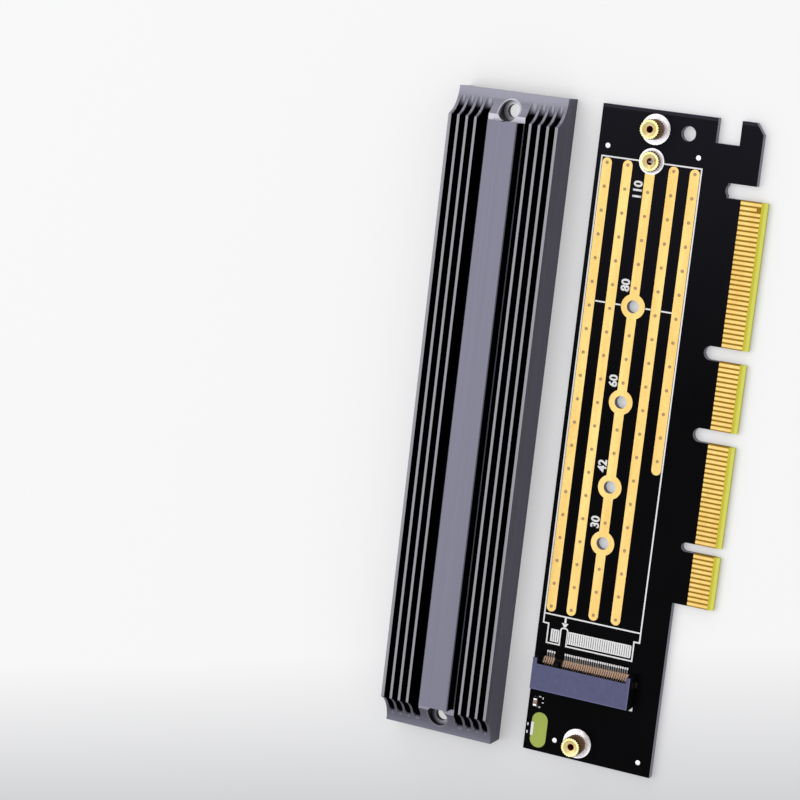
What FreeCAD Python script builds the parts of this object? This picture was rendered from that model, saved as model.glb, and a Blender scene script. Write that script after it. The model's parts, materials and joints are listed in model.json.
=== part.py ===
import FreeCAD, Part
import math
import os

# A drive adapter card for a sixteen-lane expansion slot, with its ribbed heatsink cover
# taken off and laid beside it. Both lie flat, with their long sides parallel.
#
# Millimetres. While modelling, x is measured from the centre line of the drive towards the
# gold fingers, y from the line where the drive's plug stops in its socket, and z up from the
# surface that the card and the heatsink lie on. to_row() then moves every piece, so that
# the origin is at the middle of the pair.

# ---------------------------------------------------------------- driving dimensions

# Drive that the board is laid out for: a flat module with a plug at one end
DRIVE_LENGTHS = (30.0, 42.0, 60.0, 80.0, 110.0)
DRIVE_THICKNESS = 0.8
DRIVE_SEAT_HEIGHT = 1.45        # underside of the drive above the board
PLUG_PITCH = 0.5                # of the contacts on one face; the other face is half a step off
PLUG_PIN_COUNT = 75
PLUG_COUNT_BEFORE_KEY = 58
PLUG_KEY_COUNT = 8              # contacts that the key takes
PLUG_MARGIN = 0.675             # plug beyond its first and last contact

# Circuit board
BOARD_THICKNESS = 1.6
COPPER_THICKNESS = 0.05
BOARD_BEHIND_SEAT = 17.1        # from the drive's stop line to the board's near end
SOCKET_TO_PLAIN_EDGE = 1.0
BODY_TO_SLOT_EDGE = 16.75       # from the drive's centre line to the edge with the fingers
DRIVE_HOLE_DIAMETER = 2.7
DRIVE_PAD_DIAMETER = 5.2
SPARE_HOLE_DIAMETER = 3.1
SPARE_HOLE_ASIDE = 7.1          # from the far standoff, towards the fingers

# Gold fingers: rows of contacts on both faces, parted by the key and by two relief notches
PIN_PITCH = 1.0
COUNT_BEFORE_KEY = 11
COUNT_AFTER_KEY = 21
COUNT_AFTER_FIRST_RELIEF = 14
COUNT_AFTER_SECOND_RELIEF = 30
COUNT_LEFT_OUT = 3              # contacts left out at each relief notch
KEY_TO_FINGER = 1.5             # from the middle of the key notch to the next contact
FINGER_WIDTH = 0.7
FINGER_LENGTH = 4.4
PRESENCE_SHORT_OF_TIP = 0.9     # the two presence contacts are shorter, so that they mate last
FINGER_MARGIN = 0.2             # board beside a finger, at every notch and at both ends
MASK_BEFORE_FINGERS = 3.15      # masked board between the body's edge line and the fingers
BEVEL_LENGTH = 1.2
BEVEL_DEPTH = 0.42
RELIEF_NOTCH_BITE = 0.4         # how far a relief notch reaches into the body
KEY_NOTCH_STOP = 0.3            # board left between the key notch and the body's edge line

# Retention tab beyond the fingers, and the square notch in the board's far end
HOOK_SLOT_WIDTH = 3.05
TAB_LENGTH = 12.65
TAB_REACH = 6.0                 # from the body's edge line to the tab's outer edge
TAB_CHAMFER_X = 1.7
TAB_CHAMFER_Y = 2.3
TAB_HORN_WIDTH = 4.7            # tab left beside the square notch
END_NOTCH_WIDTH = 5.05
END_NOTCH_DEPTH = 5.05

# Bare copper strips that spread the drive's heat
STRIP_WIDTH = 2.1
STRIP_INNER_OFFSET = 5.0
STRIP_OUTER_OFFSET = 9.55
STRIP_START = 13.4
SHORT_STRIP_START = 46.3
STRIP_SHORT_OF_DRIVE = 0.4

# Round-ended window in the solder mask, near the plain edge
WINDOW_WIDTH = 3.6
WINDOW_TO_PLAIN_EDGE = 1.25
WINDOW_TO_NEAR_END = 0.75
WINDOW_TO_CHIP = 1.0

# Brass standoffs, soldered into the board
COVER_SCREW_PAST_DRIVE = 6.55
COVER_SCREW_TO_FAR_END = 3.95   # of board and heatsink alike
COVER_SCREW_TO_NEAR_END = 3.65
COVER_STANDOFF_HEIGHT = 4.0
STANDOFF_DIAMETER = 4.2
STANDOFF_BORE = 1.75
STANDOFF_CHAMFER = 0.35
STANDOFF_SHANK_DIAMETER = 2.9
SHANK_CLEARANCE = 0.05
SHANK_RECESS = 0.2              # shank end above the board's underside
KNURL_TEETH = 18
KNURL_DEPTH = 0.17
COVER_SOLDER_DIAMETER = 6.3
DRIVE_SOLDER_DIAMETER = 5.4
SOLDER_HEIGHT = 0.27

# Drive socket
SOCKET_CHEEK = 0.925
SOCKET_REAR = 3.05              # behind the stop line
SOCKET_MOUTH = 2.5              # roof in front of the stop line
SOCKET_FRONT = 3.75             # side arms and sill in front of it
SOCKET_ROOF = 0.3
SLOT_CLEARANCE = 0.1
SILL_HEIGHT = 0.55
KEY_RIB_WIDTH = 1.1
KEY_RIB_FRONT = 3.2
SPRING_WIDTH = 0.2
SPRING_THICKNESS = 0.15
SPRING_CLEARANCE = 0.04         # between a spring and each side of its channel
SPRING_LOFT = 0.55              # room over the drive for the upper springs
FRONT_TAIL_LENGTH = 1.35
REAR_TAIL_LENGTH = 0.75
HOLD_DOWN_WIDTH = 1.2
HOLD_DOWN_REACH = 0.7
HOLD_DOWN_HEIGHT = 1.5
HOLD_DOWN_THICKNESS = 0.2

# Chip capacitor behind the socket
CHIP_LENGTH = 1.6
CHIP_WIDTH = 0.85
CHIP_HEIGHT = 0.75
CHIP_CAP_LENGTH = 0.4
CHIP_PAD_OVERHANG = 0.35
CHIP_TO_PLAIN_EDGE = 1.7
CHIP_BEHIND_SOCKET = 3.45

# Heatsink: an extrusion, coved and drilled at both ends. Heights build up from the bottom.
HEATSINK_WIDTH = 24.7
HEATSINK_GAP = 6.3              # between the heatsink and the card
SKIRT_THICKNESS = 1.15          # of the two walls that it stands on
UNDERCUT_DEPTH = 2.2            # room for the drive under the heatsink
WEB_THICKNESS = 2.85
CHANNEL_RADIUS = 0.62
CHANNEL_ROUND_LIMIT = 0.45      # most of a channel's width that one round may take
FIN_HEIGHT = 3.95
FIN_THICKNESS = 0.55
FIN_PITCH = 1.95
OUTER_FIN_THICKNESS = 0.65
NARROWEST_CHANNEL = 1.2
RAIL_HALF_WIDTH = 3.4
RAIL_PROUD = 0.4                # rail above the fins
RAIL_CHAMFER = 0.2
LEDGE_WIDTH = 0.75              # beside the rail
LEDGE_HEIGHT = 2.05             # above the channel floor
RAIL_SHORT_OF_END = 6.1
COVE_RADIUS = 6.3
COVE_BELOW_CHANNEL = 0.25
SCREW_HOLE_DIAMETER = 2.9
SCREW_POCKET_DIAMETER = 4.5
SCREW_POCKET_WEB = 1.4          # metal left under the screw's head

# ---------------------------------------------------------------- places worked out from them

CUT_MARGIN = 1.0                # how far a cutting tool reaches past what it cuts

PIN_SPAN = (PLUG_PIN_COUNT - 1) * PLUG_PITCH / 2
PLUG_WIDTH = PIN_SPAN + 2 * PLUG_MARGIN
SLOT_HALF_WIDTH = PLUG_WIDTH / 2 + SLOT_CLEARANCE
SOCKET_HALF_WIDTH = SLOT_HALF_WIDTH + SOCKET_CHEEK

LONGEST_DRIVE = DRIVE_LENGTHS[-1]
HOLE_LINES = DRIVE_LENGTHS[:-1]
FAR_SCREW = LONGEST_DRIVE + COVER_SCREW_PAST_DRIVE
BOARD_FAR = FAR_SCREW + COVER_SCREW_TO_FAR_END
BOARD_NEAR = -BOARD_BEHIND_SEAT
NEAR_SCREW = BOARD_NEAR + COVER_SCREW_TO_NEAR_END
BODY_LEFT = -SOCKET_HALF_WIDTH - SOCKET_TO_PLAIN_EDGE
BODY_RIGHT = BODY_TO_SLOT_EDGE
BOARD_TOP = BOARD_THICKNESS
COPPER_TOP = BOARD_TOP + COPPER_THICKNESS

TAB_NEAR = BOARD_FAR - TAB_LENGTH
TONGUE_FAR = TAB_NEAR - HOOK_SLOT_WIDTH
COUNTS_PAST_KEY = (COUNT_AFTER_KEY, COUNT_AFTER_FIRST_RELIEF, COUNT_AFTER_SECOND_RELIEF)
PITCHES_AFTER_KEY = sum(COUNTS_PAST_KEY) + COUNT_LEFT_OUT * (len(COUNTS_PAST_KEY) - 1) - 1
LAST_FINGER = TONGUE_FAR - FINGER_MARGIN - FINGER_WIDTH / 2
KEY_LINE = LAST_FINGER - PITCHES_AFTER_KEY * PIN_PITCH - KEY_TO_FINGER
FIRST_FINGER = KEY_LINE - KEY_TO_FINGER - (COUNT_BEFORE_KEY - 1) * PIN_PITCH
TONGUE_NEAR = FIRST_FINGER - FINGER_WIDTH / 2 - FINGER_MARGIN
FINGER_START = BODY_RIGHT + MASK_BEFORE_FINGERS
FINGER_END = FINGER_START + FINGER_LENGTH
TONGUE_TIP = FINGER_END + BEVEL_LENGTH
TAB_EDGE = BODY_RIGHT + TAB_REACH

SLOT_FLOOR = BOARD_TOP + DRIVE_SEAT_HEIGHT - SLOT_CLEARANCE
SLOT_CEILING = BOARD_TOP + DRIVE_SEAT_HEIGHT + DRIVE_THICKNESS + SLOT_CLEARANCE
LOFT_TOP = SLOT_CEILING + SPRING_LOFT
SOCKET_TOP = LOFT_TOP + SOCKET_ROOF

CHIP_X = BODY_LEFT + CHIP_TO_PLAIN_EDGE
CHIP_Y = -SOCKET_REAR - CHIP_BEHIND_SOCKET

HEATSINK_CENTRE = BODY_LEFT - HEATSINK_GAP - HEATSINK_WIDTH / 2
ROW_LEFT = HEATSINK_CENTRE - HEATSINK_WIDTH / 2
CHANNEL_FLOOR = UNDERCUT_DEPTH + WEB_THICKNESS
FIN_TOP = CHANNEL_FLOOR + FIN_HEIGHT
RAIL_TOP = FIN_TOP + RAIL_PROUD
LEDGE_TOP = CHANNEL_FLOOR + LEDGE_HEIGHT
LEDGE_HALF_WIDTH = RAIL_HALF_WIDTH + LEDGE_WIDTH


# ---------------------------------------------------------------- helpers

def box(x0, x1, y0, y1, z0, z1):
    return Part.makeBox(x1 - x0, y1 - y0, z1 - z0, FreeCAD.Vector(x0, y0, z0))


def disc(x, y, diameter, z0, z1):
    return Part.makeCylinder(diameter / 2, z1 - z0, FreeCAD.Vector(x, y, z0))


def through_hole(x, y, diameter):
    return disc(x, y, diameter, -CUT_MARGIN, BOARD_TOP + CUT_MARGIN)


def rounded_bar(x, y0, y1, width, z0, z1):
    """A flat bar along y with a half-round at each end."""
    radius = width / 2
    middle = box(x - radius, x + radius, y0 + radius, y1 - radius, z0, z1)
    ends = [disc(x, y0 + radius, width, z0, z1), disc(x, y1 - radius, width, z0, z1)]
    return middle.fuse(ends).removeSplitter()


def extruded(points, direction):
    """A closed outline of points, pushed out along a direction."""
    return Part.Face(Part.makePolygon(points + points[:1])).extrude(direction)


def along_x(outline, x0, x1):
    """A closed outline of (y, z) points, pushed out from x0 to x1."""
    points = [FreeCAD.Vector(x0, y, z) for y, z in outline]
    return extruded(points, FreeCAD.Vector(x1 - x0, 0, 0))


def along_y(outline, y0, y1):
    """A closed outline of (x, z) points, pushed out from y0 to y1."""
    points = [FreeCAD.Vector(x, y0, z) for x, z in outline]
    return extruded(points, FreeCAD.Vector(0, y1 - y0, 0))


def mirrored_x(shape):
    return shape.mirror(FreeCAD.Vector(0, 0, 0), FreeCAD.Vector(1, 0, 0))


def to_row(shape):
    """From the card's own datum to the middle of the pair."""
    middle_x = (ROW_LEFT + TONGUE_TIP) / 2
    middle_y = (BOARD_NEAR + BOARD_FAR) / 2
    return shape.translated(FreeCAD.Vector(-middle_x, -middle_y, 0))


def save(name, solids):
    shape = solids[0] if len(solids) == 1 else Part.makeCompound(solids)
    to_row(shape).exportStep("parts/" + name + ".step")
    print(name, len(solids), round(sum(solid.Volume for solid in solids), 3))


# ---------------------------------------------------------------- gold fingers

def finger_rows():
    """First contact line and number of contacts of each unbroken row."""
    rows = [(FIRST_FINGER, COUNT_BEFORE_KEY)]
    start = KEY_LINE + KEY_TO_FINGER
    for count in COUNTS_PAST_KEY:
        rows.append((start, count))
        start += (count + COUNT_LEFT_OUT) * PIN_PITCH
    return rows


def row_ends():
    """Where the board ends beside each row: margin and half a finger past its outer contacts."""
    past = FINGER_WIDTH / 2 + FINGER_MARGIN
    return [(start - past, start + (count - 1) * PIN_PITCH + past) for start, count in finger_rows()]


def fingers(start, count, presence, z0, z1):
    """One row of contacts; presence is the place in it of the presence contact, if it has one."""
    strips = []
    for step in range(count):
        near = start + step * PIN_PITCH - FINGER_WIDTH / 2
        end = FINGER_END - PRESENCE_SHORT_OF_TIP if step == presence else FINGER_END
        strips.append(box(FINGER_START, end, near, near + FINGER_WIDTH, z0, z1))
    return strips


def tongue():
    """The tongue's section: masked root, bare laminate set back by the copper, bevelled tip."""
    lower_half = [
        (BODY_RIGHT - CUT_MARGIN, 0),
        (FINGER_START, 0),
        (FINGER_START, COPPER_THICKNESS),
        (FINGER_END, COPPER_THICKNESS),
        (TONGUE_TIP, BEVEL_DEPTH),
    ]
    upper_half = [(x, BOARD_THICKNESS - z) for x, z in reversed(lower_half)]
    return along_y(lower_half + upper_half, TONGUE_NEAR, TONGUE_FAR)


def edge_notch(near, far, stop):
    """A notch that comes in from the tongue's tip and ends half-round at stop."""
    radius = (far - near) / 2
    outside = TONGUE_TIP + TAB_REACH
    slot = box(stop + radius, outside, near, far, -CUT_MARGIN, BOARD_TOP + CUT_MARGIN)
    return slot.fuse(through_hole(stop + radius, near + radius, 2 * radius))


# ---------------------------------------------------------------- copper on the board's face

def outer_strip(x, start):
    end = LONGEST_DRIVE - STRIP_SHORT_OF_DRIVE
    return rounded_bar(x, start, end, STRIP_WIDTH, BOARD_TOP, COPPER_TOP)


def centre_strip():
    """The middle strip, with a round pad at each drive hole, up to the drive standoff."""
    strip = rounded_bar(0, STRIP_START, LONGEST_DRIVE, STRIP_WIDTH, BOARD_TOP, COPPER_TOP)
    pads = [disc(0, y, DRIVE_PAD_DIAMETER, BOARD_TOP, COPPER_TOP) for y in HOLE_LINES]
    holes = [through_hole(0, y, DRIVE_HOLE_DIAMETER) for y in HOLE_LINES]
    standoff_place = through_hole(0, LONGEST_DRIVE, DRIVE_SOLDER_DIAMETER)
    return strip.fuse(pads).removeSplitter().cut(holes + [standoff_place])


def heat_strips():
    return [
        outer_strip(-STRIP_OUTER_OFFSET, STRIP_START),
        outer_strip(-STRIP_INNER_OFFSET, STRIP_START),
        centre_strip(),
        outer_strip(STRIP_INNER_OFFSET, STRIP_START),
        outer_strip(STRIP_OUTER_OFFSET, SHORT_STRIP_START),
    ]


def chip_pads():
    inner = CHIP_LENGTH / 2 - CHIP_CAP_LENGTH
    outer = CHIP_LENGTH / 2 + CHIP_PAD_OVERHANG
    left = CHIP_X - CHIP_WIDTH / 2
    right = CHIP_X + CHIP_WIDTH / 2
    near = box(left, right, CHIP_Y - outer, CHIP_Y - inner, BOARD_TOP, COPPER_TOP)
    far = box(left, right, CHIP_Y + inner, CHIP_Y + outer, BOARD_TOP, COPPER_TOP)
    return [near, far]


# ---------------------------------------------------------------- circuit board

def retention_tab():
    """The tab past the fingers, with its outer corner cut off."""
    outline = [
        (BODY_RIGHT - CUT_MARGIN, TAB_NEAR),
        (TAB_EDGE, TAB_NEAR),
        (TAB_EDGE, BOARD_FAR - TAB_CHAMFER_Y),
        (TAB_EDGE - TAB_CHAMFER_X, BOARD_FAR),
        (BODY_RIGHT - CUT_MARGIN, BOARD_FAR),
    ]
    points = [FreeCAD.Vector(x, y, 0) for x, y in outline]
    return extruded(points, FreeCAD.Vector(0, 0, BOARD_THICKNESS))


def notches():
    """Key notch, relief notches and hook slot along the tongue, square notch at the far end."""
    ends = row_ends()
    relief_stop = BODY_RIGHT - RELIEF_NOTCH_BITE
    cuts = [edge_notch(ends[0][1], ends[1][0], BODY_RIGHT + KEY_NOTCH_STOP)]
    for before, after in zip(ends[1:], ends[2:]):
        cuts.append(edge_notch(before[1], after[0], relief_stop))
    cuts.append(edge_notch(TONGUE_FAR, TAB_NEAR, relief_stop))
    right = TAB_EDGE - TAB_HORN_WIDTH
    left = right - END_NOTCH_WIDTH
    stop = BOARD_FAR - END_NOTCH_DEPTH
    past = BOARD_FAR + CUT_MARGIN
    cuts.append(box(left, right, stop, past, -CUT_MARGIN, BOARD_TOP + CUT_MARGIN))
    return cuts


def standoff_places():
    """Centre line y, barrel height and solder diameter of each standoff."""
    return {
        "cover_standoff_near": (NEAR_SCREW, COVER_STANDOFF_HEIGHT, COVER_SOLDER_DIAMETER),
        "cover_standoff_far": (FAR_SCREW, COVER_STANDOFF_HEIGHT, COVER_SOLDER_DIAMETER),
        "drive_standoff": (LONGEST_DRIVE, DRIVE_SEAT_HEIGHT, DRIVE_SOLDER_DIAMETER),
    }


def board_holes():
    shank_hole = STANDOFF_SHANK_DIAMETER + 2 * SHANK_CLEARANCE
    holes = [through_hole(0, y, DRIVE_HOLE_DIAMETER) for y in HOLE_LINES]
    holes += [through_hole(0, y, shank_hole) for y, _, _ in standoff_places().values()]
    holes.append(through_hole(SPARE_HOLE_ASIDE, FAR_SCREW, SPARE_HOLE_DIAMETER))
    return holes


def mask_window():
    """A shallow round-ended recess, where the mask is left off and the laminate shows."""
    x = BODY_LEFT + WINDOW_TO_PLAIN_EDGE + WINDOW_WIDTH / 2
    near = BOARD_NEAR + WINDOW_TO_NEAR_END
    far = CHIP_Y - CHIP_LENGTH / 2 - CHIP_PAD_OVERHANG - WINDOW_TO_CHIP
    return rounded_bar(x, near, far, WINDOW_WIDTH, BOARD_TOP - COPPER_THICKNESS, BOARD_TOP)


def circuit_board():
    body = box(BODY_LEFT, BODY_RIGHT, BOARD_NEAR, BOARD_FAR, 0, BOARD_THICKNESS)
    sheet = body.fuse([tongue(), retention_tab()]).removeSplitter()
    return sheet.cut(notches() + board_holes() + [mask_window()])


# ---------------------------------------------------------------- standoffs and their solder

def knurl_outline(y, z, outer_radius):
    """A star of teeth and grooves about a standoff's axis."""
    groove_radius = outer_radius * (1 - 2 * KNURL_DEPTH / STANDOFF_DIAMETER)
    points = []
    for step in range(2 * KNURL_TEETH):
        reach = outer_radius if step % 2 == 0 else groove_radius
        angle = math.pi * step / KNURL_TEETH
        points.append(FreeCAD.Vector(reach * math.cos(angle), y + reach * math.sin(angle), z))
    return Part.makePolygon(points + points[:1])


def knurled_barrel(y, top):
    """Straight knurling on a turned barrel, chamfered at the top."""
    radius = STANDOFF_DIAMETER / 2
    sections = [
        knurl_outline(y, BOARD_TOP, radius),
        knurl_outline(y, top - STANDOFF_CHAMFER, radius),
        knurl_outline(y, top, radius - STANDOFF_CHAMFER),
    ]
    return Part.makeLoft(sections, True, True)


def standoff(y, height):
    top = BOARD_TOP + height
    shank = disc(0, y, STANDOFF_SHANK_DIAMETER, SHANK_RECESS, BOARD_TOP)
    bore = disc(0, y, STANDOFF_BORE, 0, top + CUT_MARGIN)
    bore_radius = STANDOFF_BORE / 2
    mouth_base = FreeCAD.Vector(0, y, top - STANDOFF_CHAMFER)
    mouth = Part.makeCone(bore_radius, bore_radius + STANDOFF_CHAMFER, STANDOFF_CHAMFER, mouth_base)
    return knurled_barrel(y, top).fuse(shank).cut([bore, mouth])


def solder_ring(y, diameter):
    """The fillet of solder between the pad's rim and the barrel."""
    inner = STANDOFF_DIAMETER / 2
    slope = Part.makeCone(diameter / 2, inner, SOLDER_HEIGHT, FreeCAD.Vector(0, y, BOARD_TOP))
    return slope.cut(disc(0, y, STANDOFF_DIAMETER, 0, COVER_STANDOFF_HEIGHT))


# ---------------------------------------------------------------- drive socket

def plug_pins(first):
    """Every second contact from the first one on, without those that the key takes."""
    pins = range(first, PLUG_PIN_COUNT + 1, 2)
    key_end = PLUG_COUNT_BEFORE_KEY + PLUG_KEY_COUNT
    return [pin for pin in pins if pin <= PLUG_COUNT_BEFORE_KEY or pin > key_end]


def pin_x(pin):
    """Contact 1 is the one nearest the gold fingers."""
    return PIN_SPAN / 2 - (pin - 1) * PLUG_PITCH / 2


def spring(path):
    """A flat strip with square bends, lying on the upper side of a (y, z) line."""
    points = [FreeCAD.Vector(-SPRING_WIDTH / 2, y, z) for y, z in path]
    strip = Part.makePolygon(points).makeOffset2D(SPRING_THICKNESS, 2, True, True)
    return strip.extrude(FreeCAD.Vector(SPRING_WIDTH, 0, 0))


def lower_spring():
    """From a tail on the board, up the sill's channel, to press on the drive from below."""
    touch = BOARD_TOP + DRIVE_SEAT_HEIGHT - SPRING_THICKNESS
    return spring([
        (SOCKET_FRONT + FRONT_TAIL_LENGTH, BOARD_TOP),
        (SOCKET_FRONT, BOARD_TOP),
        (SOCKET_MOUTH / 2, touch),
        (SOCKET_MOUTH / 5, touch - SPRING_THICKNESS),
    ])


def upper_spring():
    """From a tail behind the socket, up and over, to press on the drive from above."""
    touch = BOARD_TOP + DRIVE_SEAT_HEIGHT + DRIVE_THICKNESS
    rise = 2 * SPRING_THICKNESS - SOCKET_REAR
    loft = LOFT_TOP - 2 * SPRING_THICKNESS
    return spring([
        (SOCKET_MOUTH * 3 / 5, touch),
        (SOCKET_MOUTH / 4, loft),
        (rise + SPRING_THICKNESS, loft),
        (rise + SPRING_THICKNESS, BOARD_TOP),
        (-SOCKET_REAR - REAR_TAIL_LENGTH, BOARD_TOP),
    ])


def spring_row(shape, first):
    return [shape.translated(FreeCAD.Vector(pin_x(pin), 0, 0)) for pin in plug_pins(first)]


def socket_opening():
    """The slot that takes the plug, and the open front between the side arms."""
    front = SOCKET_FRONT + CUT_MARGIN
    slot = box(-SLOT_HALF_WIDTH, SLOT_HALF_WIDTH, 0, front, SLOT_FLOOR, SLOT_CEILING)
    open_front = along_x([
        (SOCKET_MOUTH, SOCKET_TOP + CUT_MARGIN),
        (SOCKET_MOUTH, SLOT_FLOOR),
        (SOCKET_FRONT, BOARD_TOP + SILL_HEIGHT),
        (front, BOARD_TOP + SILL_HEIGHT),
        (front, SOCKET_TOP + CUT_MARGIN),
    ], -SLOT_HALF_WIDTH, SLOT_HALF_WIDTH)
    return slot.fuse(open_front)


def spring_channels():
    """Channels through the sill for the lower springs, and over the slot for the upper ones."""
    half = SPRING_WIDTH / 2 + SPRING_CLEARANCE
    front = SOCKET_FRONT + CUT_MARGIN
    behind = -SOCKET_REAR - CUT_MARGIN
    below = BOARD_TOP - CUT_MARGIN
    keeper = 4 * SPRING_THICKNESS - SOCKET_REAR
    upper_outline = [
        (front, SLOT_CEILING),
        (front, LOFT_TOP),
        (behind, LOFT_TOP),
        (behind, below),
        (keeper, below),
        (keeper, SLOT_CEILING),
    ]
    channels = []
    for pin in plug_pins(2):
        x = pin_x(pin)
        channels.append(box(x - half, x + half, 0, front, below, SLOT_CEILING))
    for pin in plug_pins(1):
        x = pin_x(pin)
        channels.append(along_x(upper_outline, x - half, x + half))
    return channels


def key_rib():
    first = pin_x(PLUG_COUNT_BEFORE_KEY + 1)
    last = pin_x(PLUG_COUNT_BEFORE_KEY + PLUG_KEY_COUNT)
    left = (first + last - KEY_RIB_WIDTH) / 2
    return box(left, left + KEY_RIB_WIDTH, 0, KEY_RIB_FRONT, BOARD_TOP, SLOT_CEILING)


def socket_housing():
    """One moulding: roof, side arms, sill with its comb, slot and key rib."""
    side = SOCKET_HALF_WIDTH
    blank = box(-side, side, -SOCKET_REAR, SOCKET_FRONT, BOARD_TOP, SOCKET_TOP)
    return blank.cut(socket_opening()).fuse(key_rib()).removeSplitter().cut(spring_channels())


def hold_down():
    """A bent tab against the socket's right cheek, with its foot on the board."""
    cheek = SOCKET_HALF_WIDTH
    near = SOCKET_MOUTH - HOLD_DOWN_WIDTH
    inner = cheek + HOLD_DOWN_THICKNESS
    outer = cheek + HOLD_DOWN_REACH
    foot_top = BOARD_TOP + HOLD_DOWN_THICKNESS
    outline = [
        (cheek, BOARD_TOP),
        (outer, BOARD_TOP),
        (outer, foot_top),
        (inner, foot_top),
        (inner, BOARD_TOP + HOLD_DOWN_HEIGHT),
        (cheek, BOARD_TOP + HOLD_DOWN_HEIGHT),
    ]
    return along_y(outline, near, SOCKET_MOUTH)


# ---------------------------------------------------------------- chip capacitor

def chip_body():
    reach = CHIP_LENGTH / 2 - CHIP_CAP_LENGTH
    left = CHIP_X - CHIP_WIDTH / 2
    right = CHIP_X + CHIP_WIDTH / 2
    return box(left, right, CHIP_Y - reach, CHIP_Y + reach, COPPER_TOP, COPPER_TOP + CHIP_HEIGHT)


def chip_end_caps():
    """Plated ends, each with its solder sloping down to the pad's rim."""
    inner = CHIP_Y + CHIP_LENGTH / 2 - CHIP_CAP_LENGTH
    outer = CHIP_Y + CHIP_LENGTH / 2
    cap = [
        (inner, COPPER_TOP),
        (outer + CHIP_PAD_OVERHANG, COPPER_TOP),
        (outer, COPPER_TOP + CHIP_HEIGHT / 2),
        (outer, COPPER_TOP + CHIP_HEIGHT),
        (inner, COPPER_TOP + CHIP_HEIGHT),
    ]
    far = along_x(cap, CHIP_X - CHIP_WIDTH / 2, CHIP_X + CHIP_WIDTH / 2)
    near = far.mirror(FreeCAD.Vector(0, CHIP_Y, 0), FreeCAD.Vector(0, 1, 0))
    return [near, far]


# ---------------------------------------------------------------- heatsink

def line(x0, z0, x1, z1):
    return Part.LineSegment(FreeCAD.Vector(x0, 0, z0), FreeCAD.Vector(x1, 0, z1)).toShape()


def round_corner(x0, z0, x1, z1, centre_x, centre_z):
    """A quarter-round between two points, about a centre."""
    radius = math.hypot(x0 - centre_x, z0 - centre_z)
    aside = (x0 + x1) / 2 - centre_x
    up = (z0 + z1) / 2 - centre_z
    scale = radius / math.hypot(aside, up)
    middle = FreeCAD.Vector(centre_x + aside * scale, 0, centre_z + up * scale)
    return Part.Arc(FreeCAD.Vector(x0, 0, z0), middle, FreeCAD.Vector(x1, 0, z1)).toShape()


def channel(left, right, left_top, right_top):
    """Down one wall, round both corners of the floor, and up the other wall."""
    radius = min(CHANNEL_RADIUS, CHANNEL_ROUND_LIMIT * (right - left))
    floor = CHANNEL_FLOOR
    rise = floor + radius
    return [
        line(left, left_top, left, rise),
        round_corner(left, rise, left + radius, floor, left + radius, rise),
        line(left + radius, floor, right - radius, floor),
        round_corner(right - radius, floor, right, rise, right - radius, rise),
        line(right, rise, right, right_top),
    ]


def right_fins():
    """Left and right face of each fin right of the rail, the outer one last."""
    half_width = HEATSINK_WIDTH / 2
    outer_middle = half_width - OUTER_FIN_THICKNESS / 2
    room = outer_middle - FIN_THICKNESS / 2 - NARROWEST_CHANNEL - LEDGE_HALF_WIDTH
    faces = []
    for step in range(int(room / FIN_PITCH), 0, -1):
        middle = outer_middle - step * FIN_PITCH
        faces.append((middle - FIN_THICKNESS / 2, middle + FIN_THICKNESS / 2))
    faces.append((half_width - OUTER_FIN_THICKNESS, half_width))
    return faces


def right_half_top():
    """From the middle of the rail, over its ledge and the fins, to the outer top corner."""
    rail = RAIL_HALF_WIDTH
    edges = [
        line(0, RAIL_TOP, rail - RAIL_CHAMFER, RAIL_TOP),
        line(rail - RAIL_CHAMFER, RAIL_TOP, rail, RAIL_TOP - RAIL_CHAMFER),
        line(rail, RAIL_TOP - RAIL_CHAMFER, rail, LEDGE_TOP),
        line(rail, LEDGE_TOP, LEDGE_HALF_WIDTH, LEDGE_TOP),
    ]
    start = LEDGE_HALF_WIDTH
    start_top = LEDGE_TOP
    for left, right in right_fins():
        edges += channel(start, left, start_top, FIN_TOP)
        edges.append(line(left, FIN_TOP, right, FIN_TOP))
        start = right
        start_top = FIN_TOP
    return edges


def heatsink_section():
    """Outline of the extrusion: rail in the middle, fins each side, room for the drive below."""
    outer = HEATSINK_WIDTH / 2
    inner = outer - SKIRT_THICKNESS
    half = right_half_top() + [
        line(outer, FIN_TOP, outer, 0),
        line(outer, 0, inner, 0),
        line(inner, 0, inner, UNDERCUT_DEPTH),
        line(inner, UNDERCUT_DEPTH, 0, UNDERCUT_DEPTH),
    ]
    other_half = [mirrored_x(edge) for edge in reversed(half)]
    return Part.Face(Part.Wire(half + other_half))


def cove_cutter():
    """What the cove takes off the near end of an extrusion that starts at y = 0."""
    corner_z = CHANNEL_FLOOR - COVE_BELOW_CHANNEL
    centre_z = corner_z + COVE_RADIUS
    top = RAIL_TOP + RAIL_PROUD
    reach = math.sqrt(COVE_RADIUS ** 2 - (centre_z - top) ** 2)
    turn = math.atan2(reach, centre_z - top) / 2
    middle_y = COVE_RADIUS * math.sin(turn)
    middle_z = centre_z - COVE_RADIUS * math.cos(turn)
    side = -HEATSINK_WIDTH / 2 - CUT_MARGIN
    corner = FreeCAD.Vector(side, 0, corner_z)
    crest = FreeCAD.Vector(side, reach, top)
    curve = Part.Arc(corner, FreeCAD.Vector(side, middle_y, middle_z), crest).toShape()
    above = FreeCAD.Vector(side, -CUT_MARGIN, top)
    outside = FreeCAD.Vector(side, -CUT_MARGIN, corner_z)
    rest = Part.makePolygon([crest, above, outside, corner])
    profile = Part.Face(Part.Wire([curve] + rest.Edges))
    return profile.extrude(FreeCAD.Vector(-2 * side, 0, 0))


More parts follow.
